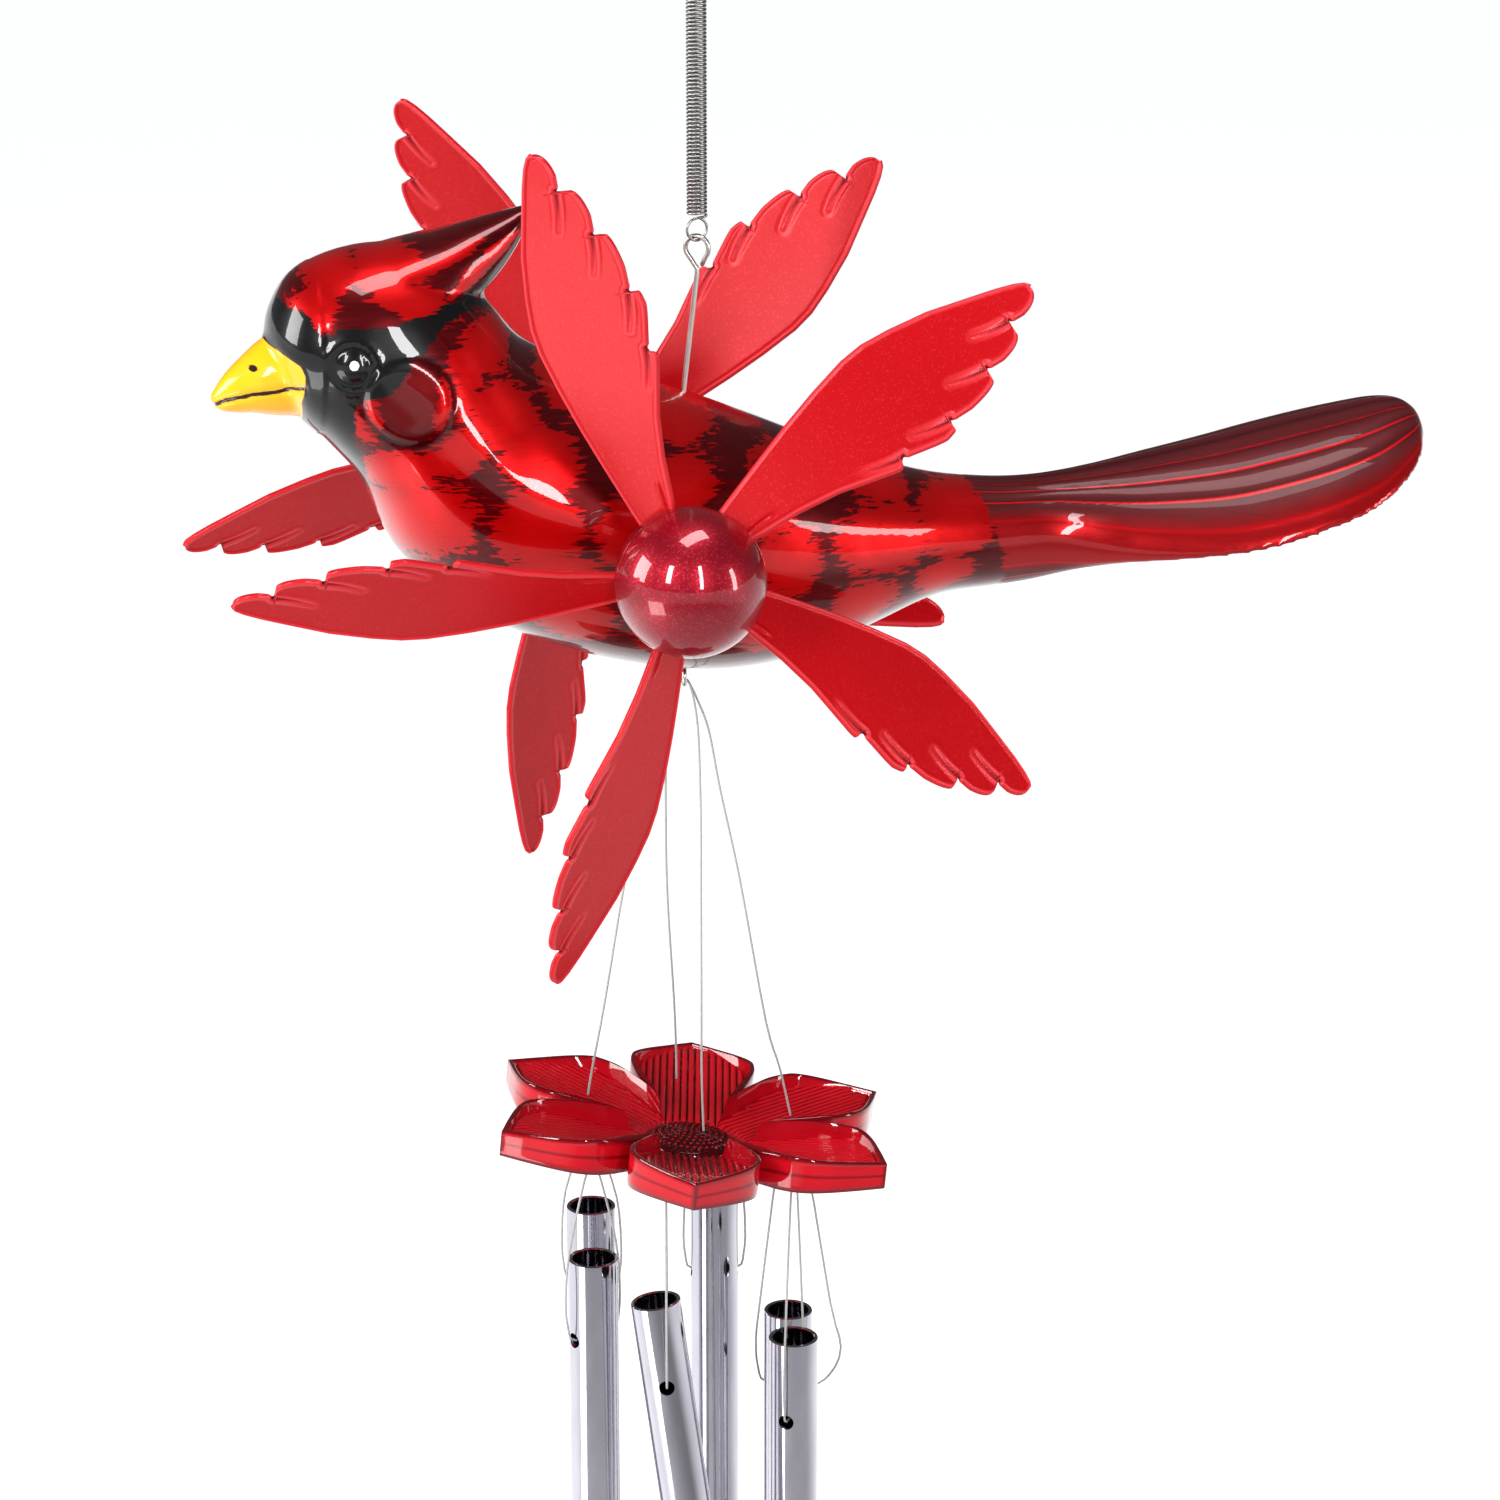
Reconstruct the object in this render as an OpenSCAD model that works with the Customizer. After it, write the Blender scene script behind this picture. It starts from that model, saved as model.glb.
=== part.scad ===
// Hanging bird whirligig: a spring-hung bird body with a five-bladed spinning
// wing on each side, and a flower disc of chime tubes strung below it.
// The origin is the inside top of the hanging hook. +Z is up, the beak points
// to -X and the tail to +X, and the wing axle lies along Y.

/* [Hook and spring] */
// Diameter of the hanging hook's wire
hook_wire = 2; // [1.5:0.1:2.5]
// Inside radius of the hook's upper bend
hook_inner_r = 7; // [6:0.5:8]
// Outside diameter of the spring's coil
spring_od = 5.2; // [4.8:0.1:5.6]
// Diameter of the spring's wire
spring_wire = 0.75; // [0.6:0.05:0.9]
// Length of the spring's coil
spring_length = 69; // [66:0.5:70]

/* [Bird body] */
// Wall thickness of the two body shells
shell_wall = 1.8; // [1.4:0.1:2.4]
// Diameter of the wire that carries the bird
hanger_wire_d = 1.3; // [1:0.1:1.6]
// Diameter of the wing axle
axle_d = 4; // [3:0.1:4.4]

/* [Wings] */
// Distance from one wing's blade plane to the other's
wing_spacing = 111.7; // [108:0.1:116]
// Angle between a blade and its plane of turning
blade_pitch = 39; // [32:0.5:44]
// Thickness of a blade
blade_thickness = 1.6; // [1.2:0.1:1.8]
// Radius of the round hub
hub_r = 17.8; // [17:0.1:18.5]
// Wall thickness of the hub
hub_wall = 2; // [1.6:0.1:2.4]
// Turn of the left wing about the axle
left_wing_turn = 36.95; // [0:0.05:72]
// Turn of the right wing about the axle
right_wing_turn = 63.6; // [0:0.05:72]

/* [Chime] */
// Radius from the disc's centre to a petal tip
petal_r = 56; // [52:0.5:58]
// Height of the disc's outer wall
disc_wall_h = 7; // [6:0.5:8]
// How far the disc tips down on its right side
disc_tip_right = 6.3; // [0:0.1:8]
// How far the disc's front edge is raised
disc_tip_front = 2.1; // [0:0.1:4]
// Radius of the ring that the tubes hang on
tube_ring_r = 29; // [28:0.5:30]
// Outside diameter of a chime tube
tube_d = 12.7; // [11:0.1:13.5]
// Wall thickness of a chime tube
tube_wall = 1; // [0.7:0.1:1.5]
// Distance from a tube's top to its string hole
tube_hole_drop = 21.5; // [18:0.5:25]
// Diameter of a tube's string hole
tube_hole_d = 4; // [3:0.5:5]
// How far the front tube leans
front_tube_lean = 7; // [0:0.5:7]
// How far the front tube swings out towards the front
front_tube_out = 3.5; // [3:0.5:6]
// Diameter of the strings
string_d = 0.6; // [0.5:0.05:0.8]

/* [Hidden] */
$fn = 48;
BLADES = 5;
TUBES = 6;

// Gap of a press fit, of a thrust face, of a blade in its slot and of a running part
press_gap = 0.02;
washer_gap = 0.05;
slot_gap = 0.15;
running_gap = 0.3;

// Where the axle crosses the bird's middle
axle_x = -16;
axle_z = -170;

// Hook: two opposite bends joined by a straight shank
hook_upper_r = hook_inner_r + hook_wire / 2;
hook_lower_r = 3.6;
hook_upper_z = -hook_inner_r;
hook_lower_z = -20.3;
hook_cross = asin((hook_upper_r + hook_lower_r) / (hook_upper_z - hook_lower_z));

// Spring: its coil and the loops at its two ends
loop_r = 2.7;
coil_top = -28;
coil_bottom = coil_top - spring_length;
top_loop_z = coil_top + loop_r + 0.1;
end_loop_z = coil_bottom - loop_r - spring_wire / 2 - 0.1;

// Wire through the bird: an eye above, a ring below
eye_x = 0;
eye_r = 3;
eye_turn = -35;
end_loop_turn = 15;
eye_drop = 5;
eye_z = end_loop_z - loop_r + (spring_wire + hanger_wire_d) / 2 + 0.1 - eye_r;
eye_foot_z = eye_z - eye_drop;
wire_x = -3.6;
wire_bend_z = -141;
ring_r = 2.1;
ring_z = -212.6;
ring_turn = -13;
// A direction that lies in neither the eye's plane nor the ring's
wire_side = 21;

// Bird sections, from the face to the tail, measured from the axle.
// Each row: top x, top z, bottom x, bottom z, half width, droop of the sides
BODY = [
    [-89.5, 47.5, -83.5, 30.5, 8, 0],
    [-88, 55.5, -80, 27.5, 15.5, 0],
    [-82, 64.5, -74.5, 22, 20.5, 0],
    [-70, 69.5, -68.5, 15, 24, 0],
    [-56, 70, -64.5, 6.5, 26, 0],
    [-44, 64.5, -60.5, -2.5, 28, 0],
    [-35.5, 55.5, -54.5, -10, 30, 0],
    [-27, 45.5, -44, -19.5, 32, 0],
    [-15, 39.5, -29, -27.5, 34, 0],
    [0, 34.5, -9, -35, 35, 0],
    [15, 29, 13, -39.5, 34, 0],
    [30, 23, 30, -39.5, 31, 0],
    [45, 16.5, 45, -36.5, 27, 0],
    [60, 10.5, 60, -30.5, 22.5, 0],
    [75, 5.8, 75, -25, 18, 0],
    [90, 3.6, 90, -23.8, 15, 0],
    [103, 3.4, 103, -22.4, 13.5, 1],
    [117, 5, 116, -18, 17, 6],
    [131, 7.4, 130, -10.5, 23.5, 11.5],
    [147, 10.2, 146, -2, 29.5, 16],
    [160, 12.8, 159.5, 2.8, 32, 17],
    [173, 15.2, 173, 6.8, 32, 16.5],
    [184, 17, 184, 9.4, 29, 15],
    [192, 18, 192, 11.2, 24, 12],
    [198, 17.6, 198, 12, 17.5, 8],
    [202, 15, 202, 12.6, 8, 3]
];
CREST = [
    [-72, 67, -66, 42, 17, 0],
    [-60, 70.5, -54, 46, 17.5, 0],
    [-48, 73, -43, 53, 14.5, 0],
    [-38, 75.2, -35.5, 59, 10, 0],
    [-30, 77, -29.5, 66.5, 6, 0],
    [-24, 78.4, -24.5, 75.5, 2, 0]
];
BEAK = [
    [-103.5, 35.2, -103.2, 33.4, 0.8, 0],
    [-102, 37.3, -101.5, 31.8, 2.8, 0],
    [-99.4, 40.8, -98, 30.8, 5, 0],
    [-95.4, 44.6, -93, 30.6, 7.5, 0],
    [-90, 48.8, -86.5, 29.6, 10, 0],
    [-84, 49, -79, 29.5, 11.5, 0]
];

// Blade edges. Each row: distance from the axle, smooth edge, feathered edge
BLADE_EDGE = [
    [12, -6.5, 2.5], [20, -8.6, 4.2], [30, -11.2, 5.6], [40, -13.6, 8],
    [50, -15.6, 12], [55.6, -16.2, 13.6], [56.6, -16.4, 11.8], [64, -16.9, 14.2],
    [70.2, -16.2, 14.3], [70.8, -16.1, 12.5], [78, -14.6, 12.8], [84.6, -12.4, 10.9],
    [85.2, -12.2, 8.6], [91, -10.2, 8.3], [95.8, -8.3, 6], [96.4, -8, 3.5],
    [102, -5, 2.6], [105, -2.6, 1], [106, -0.9, -0.1]
];
blade_plane = 1.9;
blade_sweep = 6.1;
blade_sweep_start = 30;
blade_sweep_length = 76;

// Hub and axle
hub_offset = 7;
hub_inner_r = hub_r - hub_wall;
hub_back_trim = 0.2;
bore_clearance = 0.05;
boss_r = 4.5;
boss_end = 11;
axle_end = 15;
nut_r = 5;
nut_h = 1.2;
bush_r = 5;
bush_flange_r = 7.5;
bush_inner = 26;
bush_face = 35.8;
bush_flange_h = 1.2;

// Flower disc, its height measured from the dish's centre
disc_x = -2.5;
disc_z = -337.8;
petal_turn = -102.5;
PETALS = 6;
valley_r = 26.3;
rim_top = 9;
rim_w = 1.3;
dome_r = 11.5;
dome_h = 3.2;
dish_edge_z = 8;
disc_underside = -2;
string_hole_d = 2.2;
// Half of a petal's outline, from the valley towards its tip: radius and angle from the petal's middle
PETAL_EDGE = [[valley_r, 30], [34, 26.5], [41.5, 21], [44.5, 16.5]];
leg_top_gap = 0.45;

// Tubes, in order round the ring. Front tube first, then towards the tail
tube_angle = [-115, -38, 16, 65, 141, 198];
tube_drop = [31.5, 49, 53.5, 26.5, 23, 25.5];
tube_length = [220, 205, 200, 245, 235, 230];
tube_hole_turn = [-103, -121, -25, -10, 150, -157];
tube_lean = [front_tube_lean, 0, 0, 0, 0, 0];
tube_out = [front_tube_out, 0, 0, 0, 0, 0];
// How far each tube's two string legs bow outwards
leg_bow = [[0.8, 1.5], [1, 2.5], [7, 1.5], [1, 1], [1, 1], [1.5, 1]];

// Routes of the four disc strings, from the bird's ring to the disc
STRING_LEFT = [
    [-3.8, -0.4, -213.6], [-4.8, -0.2, -214.4], [-7.5, 2, -224.5], [-10, 4.5, -238], [-13.5, 7.5, -252],
    [-17, 11, -270.5], [-21, 17, -303.5], [-24, 21, -325], [-25, 22.5, -334]
];
STRING_BACK = [
    [-3.8, 0.4, -213.6], [-4.8, 0.6, -214.4], [-6, 2.5, -223], [-7, 5.5, -233.5], [-6, 11.5, -254],
    [-4, 19, -278], [-0.5, 28, -309], [1, 32.5, -325], [1.5, 34.5, -336.5]
];
STRING_CENTRE = [
    [-3.4, -0.4, -213.6], [-2.4, -0.3, -214.4], [-1, 0, -220], [0, 0, -229.5], [0.5, 0, -251],
    [0.5, 0, -272], [0.5, 0, -299], [0.5, 0, -321], [1, 0, -336.5]
];
STRING_RIGHT = [
    [-3.4, 0.4, -213.6], [-2.4, 0.5, -214.4], [0, 1, -219.5], [3, 1.5, -228], [6, 2, -244],
    [11.5, 4, -269], [19, 7, -309], [23, 8, -323], [26.5, 9, -338.5]
];

// ---------- Curves and lofts ----------

// Point on a smooth curve through four neighbouring rows, at t from 0 to 1
function between(a, b, c, d, t) =
    b + 0.5 * t * ((c - a) + t * ((2 * a - 5 * b + 4 * c - d) + t * (3 * (b - c) + d - a)));

// Rows with more rows placed smoothly between them
function smooth_rows(rows, steps) = [
    for (i = [0 : len(rows) - 2], k = [0 : steps - 1])
        between(rows[max(i - 1, 0)], rows[i], rows[i + 1], rows[min(i + 2, len(rows) - 1)], k / steps),
    rows[len(rows) - 1]
];

// One point of a bird section, at angle t from its top, drawn in by inset
function section_point(row, t, side, inset) =
    let (half_x = (row[0] - row[2]) / 2)
    let (half_z = (row[1] - row[3]) / 2)
    let (half = norm([half_x, half_z]))
    let (k = max(half - inset, 0.3) / half)
    [
        (row[0] + row[2]) / 2 + half_x * k * cos(t),
        side * max(row[4] - inset, 0.3) * sin(t),
        (row[1] + row[3]) / 2 + half_z * k * cos(t) - row[5] * sin(t) * sin(t)
    ];

// Triangles that join ring after ring of n points, and close both ends
function ring_faces(rings, n) = concat(
    [for (i = [0 : rings - 2], j = [0 : n - 1]) [i * n + j, i * n + (j + 1) % n, (i + 1) * n + j]],
    [for (i = [0 : rings - 2], j = [0 : n - 1])
        [i * n + (j + 1) % n, (i + 1) * n + (j + 1) % n, (i + 1) * n + j]],
    [for (j = [1 : n - 2]) [0, j + 1, j]],
    [for (j = [1 : n - 2]) [(rings - 1) * n, (rings - 1) * n + j, (rings - 1) * n + j + 1]]
);

function flipped(faces) = [for (f = faces) [f[0], f[2], f[1]]];

// Solid through the rows on one side of the bird's middle plane
module half_loft(rows, side) {
    arc = 12;
    points = [for (row = rows, k = [0 : arc]) section_point(row, k * 180 / arc, side, 0)];
    faces = ring_faces(len(rows), arc + 1);
    polyhedron(points, side > 0 ? faces : flipped(faces));
}

// Solid through the rows on both sides, drawn in by inset
module full_loft(rows, inset) {
    round = 16;
    points = [for (row = rows, k = [0 : round - 1]) section_point(row, (k + 0.5) * 360 / round, 1, inset)];
    polyhedron(points, ring_faces(len(rows), round));
}

// Straight round rod between two points
module rod(from, to, d) {
    v = to - from;
    length = norm(v);
    translate(from)
        rotate([0, acos(v[2] / length), atan2(v[1], v[0])])
            cylinder(h = length, d = d);
}

// Ring of round wire that stands upright, its plane turned about Z
module wire_ring(r, d, turn) {
    rotate([0, 0, turn])
        rotate([90, 0, 0])
            rotate_extrude()
                translate([r, 0])
                    circle(d = d, $fn = 24);
}

// ---------- Strings and bent wires ----------

function unit(v) = v / norm(v);

// Direction of a path at point i
function heading(path, i) = unit(path[min(i + 1, len(path) - 1)] - path[max(i - 1, 0)]);

// Closed round bar of diameter d swept along a path.
// The side direction is one that the path never runs along
module swept_bar(path, d, sides, side) {
    points = [
        for (i = [0 : len(path) - 1])
            let (h = heading(path, i))
            let (a = unit(cross(h, side)))
            let (b = cross(h, a))
            for (k = [0 : sides - 1])
                path[i] + d / 2 * (cos(k * 360 / sides) * a + sin(k * 360 / sides) * b)
    ];
    polyhedron(points, flipped(ring_faces(len(path), sides)));
}

// Points of an arc in the XZ plane, from angle a to angle b
function arc_points(centre_z, r, a, b, steps) = [
    for (k = [0 : steps])
        let (t = a + (b - a) * k / steps)
        [r * cos(t), 0, centre_z + r * sin(t)]
];

// ---------- Placing ----------

module at_axle() {
    translate([axle_x, 0, axle_z])
        children();
}

// Wing frame: +X along the radius at angle 0, +Z outwards from the bird
module wing_frame(side) {
    translate([axle_x, side * wing_spacing / 2, axle_z])
        rotate([0, 0, side < 0 ? 0 : 180])
            rotate([90, 0, 0])
                children();
}

module disc_frame() {
    translate([disc_x, 0, disc_z])
        rotate([0, disc_tip_right, 0])
            rotate([-disc_tip_front, 0, 0])
                children();
}

function tube_top(i) = [
    disc_x + tube_ring_r * cos(tube_angle[i]),
    tube_ring_r * sin(tube_angle[i]),
    disc_z - tube_drop[i]
];

// How much the tipped disc lies above its centre where tube i hangs
function disc_lift(i) =
    -tube_ring_r * (cos(tube_angle[i]) * sin(disc_tip_right) + sin(tube_angle[i]) * sin(disc_tip_front));

module tube_frame(i) {
    translate(tube_top(i) + [0, 0, -tube_hole_drop])
        children();
}

// ---------- Hook and spring ----------

module hanging_hook() {
    upper = arc_points(hook_upper_z, hook_upper_r, 200, -hook_cross, 22);
    lower = arc_points(hook_lower_z, hook_lower_r, 180 - hook_cross, 370, 16);
    color("silver")
        swept_bar(concat(upper, lower), hook_wire, 12, [0, 1, 0]);
}

module extension_spring() {
    color("gray") {
        translate([0, 0, coil_bottom])
            difference() {
                cylinder(h = spring_length, d = spring_od);
                translate([0, 0, -1])
                    cylinder(h = spring_length + 1 - spring_wire, d = spring_od - 2 * spring_wire);
            }
        translate([0, 0, top_loop_z])
            wire_ring(loop_r, spring_wire, 90);
    }
}

module spring_end_loop() {
    color("gray")
        translate([0, 0, end_loop_z])
            wire_ring(loop_r, spring_wire, end_loop_turn);
}

// ---------- Bird ----------

// Points turned about Z and moved
function placed(points, turn, x, z) = [
    for (p = points) [x + p[0] * cos(turn), p[0] * sin(turn), z + p[2]]
];

module hanger_wire() {
    flank = 40;
    eye = concat([[1.3, 0, -4]], arc_points(0, eye_r, -flank, 180 + flank, 16));
    shank = [
        [eye_x, 0, eye_foot_z], [eye_x, 0, eye_foot_z - 1], [wire_x, 0, wire_bend_z],
        [wire_x, 0, ring_z + ring_r + 1.6]
    ];
    ring = arc_points(0, ring_r, 60, -240, 16);
    path = concat(placed(eye, eye_turn, eye_x, eye_z), shank, placed(ring, 90 + ring_turn, wire_x, ring_z));
    color("silver")
        swept_bar(path, hanger_wire_d, 10, [cos(wire_side), sin(wire_side), 0]);
}

module body_shell(side) {
    cavity = [for (i = [2 : 19]) BODY[i]];
    difference() {
        at_axle()
            union() {
                half_loft(smooth_rows(BODY, 2), side);
                half_loft(smooth_rows(CREST, 2), side);
                half_loft(smooth_rows(BEAK, 2), side);
            }
        at_axle()
            full_loft(smooth_rows(cavity, 1), shell_wall);
        at_axle()
            rotate([90, 0, 0])
                cylinder(h = 100, r = bush_r + bore_clearance, center = true);
        rod([eye_x, 0, eye_foot_z], [wire_x, 0, wire_bend_z - 0.5], hanger_wire_d + running_gap);
        translate([wire_x, 0, ring_z])
            cylinder(h = wire_bend_z - ring_z, d = hanger_wire_d + running_gap);
    }
}

module body_left_shell() {
    color("darkred")
        body_shell(-1);
}

module body_right_shell() {
    color("firebrick")
        body_shell(1);
}

module wing_axle() {
    color("silver")
        at_axle()
            rotate([90, 0, 0])
                cylinder(h = wing_spacing + 2 * axle_end, d = axle_d, center = true);
}

module axle_bush(side) {
    at_axle()
        rotate([side < 0 ? 90 : -90, 0, 0])
            difference() {
                union() {
                    translate([0, 0, bush_inner])
                        cylinder(h = bush_face - bush_inner, r = bush_r);
                    translate([0, 0, bush_face])
                        cylinder(h = bush_flange_h, r = bush_flange_r);
                }
                translate([0, 0, bush_inner - 1])
                    cylinder(h = bush_face + bush_flange_h, r = axle_d / 2 + press_gap);
            }
}

module left_axle_bush() {
    color("black")
        axle_bush(-1);
}

module right_axle_bush() {
    color("black")
        axle_bush(1);
}

module axle_spacer(side) {
    from = bush_face + bush_flange_h + washer_gap;
    to = wing_spacing / 2 + hub_offset - hub_r + hub_back_trim - running_gap;
    at_axle()
        rotate([side < 0 ? 90 : -90, 0, 0])
            translate([0, 0, from])
                difference() {
                    cylinder(h = to - from, r = boss_r);
                    translate([0, 0, -1])
                        cylinder(h = to - from + 2, r = axle_d / 2 + press_gap);
                }
}

module left_spacer() {
    color("white")
        axle_spacer(-1);
}

module right_spacer() {
    color("white")
        axle_spacer(1);
}

module push_nut(side) {
    wing_frame(side)
        translate([0, 0, boss_end + running_gap])
            difference() {
                cylinder(h = nut_h, r = nut_r);
                translate([0, 0, -1])
                    cylinder(h = nut_h + 2, r = axle_d / 2 + press_gap);
            }
}

module left_push_nut() {
    color("silver")
        push_nut(-1);
}

module right_push_nut() {
    color("silver")
        push_nut(1);
}

// ---------- Wings ----------

// How far the blade lies outside the wing's plane at distance u
function blade_height(u) =
    blade_plane - blade_sweep * pow(max(u - blade_sweep_start, 0) / blade_sweep_length, 2);

// Point of a blade at distance u, s across it and n through its thickness
function blade_point(u, s, n) = [
    u,
    -(s * cos(blade_pitch) - n * sin(blade_pitch)),
    s * sin(blade_pitch) + n * cos(blade_pitch) + blade_height(u)
];

module blade_shape() {
    half = blade_thickness / 2;
    points = [
        for (row = BLADE_EDGE) each [
            blade_point(row[0], row[1], -half),
            blade_point(row[0], row[2], -half),
            blade_point(row[0], row[2], half),
            blade_point(row[0], row[1], half)
        ]
    ];
    polyhedron(points, flipped(ring_faces(len(BLADE_EDGE), 4)));
}

module blade(side, i, turn) {
    wing_frame(side)
        rotate([0, 0, turn - i * 360 / BLADES])
            blade_shape();
}

// Slot that a blade's root passes through
module blade_slot() {
    root = BLADE_EDGE[0];
    edge = BLADE_EDGE[1];
    translate([0, 0, blade_plane])
        rotate([-blade_pitch, 0, 0])
            translate([root[0] - 2, -edge[2] - slot_gap, -blade_thickness / 2 - slot_gap])
                cube([hub_r, edge[2] - edge[1] + 2 * slot_gap, blade_thickness + 2 * slot_gap]);
}

module hub_base(side, turn) {
    wing_frame(side)
        difference() {
            union() {
                translate([0, 0, hub_offset])
                    difference() {
                        sphere(r = hub_r, $fn = 96);
                        sphere(r = hub_inner_r, $fn = 96);
                        translate([0, 0, hub_r])
                            cube(2 * hub_r, center = true);
                    }
                translate([0, 0, hub_offset - hub_r])
                    cylinder(h = boss_end - hub_offset + hub_r, r = boss_r);
            }
            translate([0, 0, hub_offset - hub_r - 1])
                cylinder(h = 2 * hub_r, r = axle_d / 2 + bore_clearance);
            translate([0, 0, hub_offset - hub_r - 1])
                cylinder(h = 1 + hub_back_trim, r = 2 * boss_r);
            for (i = [0 : BLADES - 1])
                rotate([0, 0, turn - i * 360 / BLADES])
                    blade_slot();
        }
}

module hub_cap(side) {
    wing_frame(side)
        translate([0, 0, hub_offset])
            difference() {
                sphere(r = hub_r, $fn = 96);
                sphere(r = hub_inner_r, $fn = 96);
                translate([0, 0, -hub_r])
                    cube(2 * hub_r, center = true);
            }
}

module left_hub_base() {
    color("firebrick")
        hub_base(-1, left_wing_turn);
}

module left_hub_cap() {
    color("red")
        hub_cap(-1);
}

module right_hub_base() {
    color("firebrick")
        hub_base(1, right_wing_turn);
}

module right_hub_cap() {
    color("red")
        hub_cap(1);
}

module left_blade(i) {
    color("red")
        blade(-1, i, left_wing_turn + 360 / BLADES);
}

module right_blade(i) {
    color("red")
        blade(1, i, right_wing_turn);
}

// ---------- Flower disc ----------

// Outline of the flower, each petal drawn in by inset along its sides
function petal_points(inset) = [
    for (p = [0 : PETALS - 1])
        let (a = p * 360 / PETALS)
        each [
            for (e = PETAL_EDGE) (e[0] - inset) * [cos(a - e[1]), sin(a - e[1])],
            (petal_r - inset) * [cos(a - 1), sin(a - 1)],
            (petal_r - inset) * [cos(a + 1), sin(a + 1)],
            for (k = [len(PETAL_EDGE) - 1 : -1 : 1])
                let (e = PETAL_EDGE[k])
                (e[0] - inset) * [cos(a + e[1]), sin(a + e[1])]
        ]
];

module flower_disc() {
    outer = petal_r + 2;
    slope = (dish_edge_z) / (petal_r - dome_r);
    color("red", 0.8)
        disc_frame()
            difference() {
                union() {
                    difference() {
                        translate([0, 0, disc_underside])
                            rotate([0, 0, petal_turn])
                                linear_extrude(height = rim_top - disc_underside)
                                    polygon(petal_points(0));
                        rotate_extrude($fn = 96)
                            polygon([[0, disc_underside - 1], [outer, disc_underside - 1],
                                [outer, rim_top - disc_wall_h], [dome_r, disc_underside], [0, disc_underside]]);
                        intersection() {
                            rotate([0, 0, petal_turn])
                                linear_extrude(height = rim_top + 1)
                                    polygon(petal_points(rim_w));
                            rotate_extrude($fn = 96)
                                polygon([[0, 0], [dome_r, 0], [outer, slope * (outer - dome_r)],
                                    [outer, rim_top + 1], [0, rim_top + 1]]);
                        }
                    }
                    translate([0, 0, -0.5])
                        intersection() {
                            translate([0, 0, dome_h - dome_r * 2])
                                sphere(r = dome_r * 2, $fn = 96);
                            cylinder(h = dome_h + 1, r = dome_r);
                        }
                }
                for (i = [0 : TUBES - 1])
                    rotate([0, 0, tube_angle[i]])
                        translate([tube_ring_r, 0, disc_underside - 1])
                            cylinder(h = rim_top + 4, d = string_hole_d);
            }
}

module disc_string(route) {
    color("white")
        swept_bar(smooth_rows(route, 2), string_d, 8, [1, 0, 0]);
}

module disc_string_left() {
    disc_string(STRING_LEFT);
}

module disc_string_back() {
    disc_string(STRING_BACK);
}

module disc_string_centre() {
    disc_string(STRING_CENTRE);
}

module disc_string_right() {
    disc_string(STRING_RIGHT);
}

// ---------- Tubes ----------

module tube(i) {
    color("silver")
        tube_frame(i)
            rotate([-tube_out[i], -tube_lean[i], 0])
                difference() {
                    translate([0, 0, tube_hole_drop - tube_length[i]])
                        cylinder(h = tube_length[i], d = tube_d);
                    translate([0, 0, tube_hole_drop - tube_length[i] - 1])
                        cylinder(h = tube_length[i] + 2, d = tube_d - 2 * tube_wall);
                    rotate([0, 90, tube_hole_turn[i]])
                        cylinder(h = tube_d + 2, d = tube_hole_d, center = true);
                }
}

// One leg of a tube's string, from the disc to the tube's string hole
function leg(side, i, bow) =
    let (mouth = tube_d / 2)
    let (rise = tube_drop[i] + tube_hole_drop + disc_lift(i))
    [
        [side * leg_top_gap, rise + 1.5],
        [side * leg_top_gap, rise - 2],
        [side * (mouth + bow) * 0.35, rise - 8],
        [side * (mouth + bow * 0.7), tube_hole_drop + 3],
        [side * (mouth + 0.8 + bow), 12],
        [side * (mouth + 0.8 + bow * 0.6), 4],
        [side * (mouth - 0.6), 0]
    ];

function reversed(list) = [for (k = [len(list) - 1 : -1 : 0]) list[k]];

module tube_string(i) {
    a = leg(1, i, leg_bow[i][0]);
    b = reversed(leg(-1, i, leg_bow[i][1]));
    turn = tube_hole_turn[i];
    route = [for (p = concat(a, b)) [p[0] * cos(turn), p[0] * sin(turn), p[1]]];
    color("white")
        tube_frame(i)
            swept_bar(smooth_rows(route, 2), string_d, 8, [-sin(turn), cos(turn), 0]);
}

hanging_hook();
extension_spring();
spring_end_loop();
hanger_wire();
body_left_shell();
body_right_shell();
wing_axle();
left_axle_bush();
right_axle_bush();
left_spacer();
right_spacer();
left_push_nut();
right_push_nut();
left_hub_base();
left_hub_cap();
left_blade(0);  // left_blade_1
left_blade(1);  // left_blade_2
left_blade(2);  // left_blade_3
left_blade(3);  // left_blade_4
left_blade(4);  // left_blade_5
right_hub_base();
right_hub_cap();
right_blade(0);  // right_blade_1
right_blade(1);  // right_blade_2
right_blade(2);  // right_blade_3
right_blade(3);  // right_blade_4
right_blade(4);  // right_blade_5
flower_disc();
disc_string_left();
disc_string_back();
disc_string_centre();
disc_string_right();
tube(0);  // tube_1
tube(1);  // tube_2
tube(2);  // tube_3
tube(3);  // tube_4
tube(4);  // tube_5
tube(5);  // tube_6
tube_string(0);  // tube_string_1
tube_string(1);  // tube_string_2
tube_string(2);  // tube_string_3
tube_string(3);  // tube_string_4
tube_string(4);  // tube_string_5
tube_string(5);  // tube_string_6
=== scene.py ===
"""Bird whirligig wind chime: a spring-hung bird with two feathered spinning wings,
and a flower dish of chime tubes strung below it."""
import math

import bmesh
import bpy
import numpy as np
from mathutils import Matrix, Vector


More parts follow.
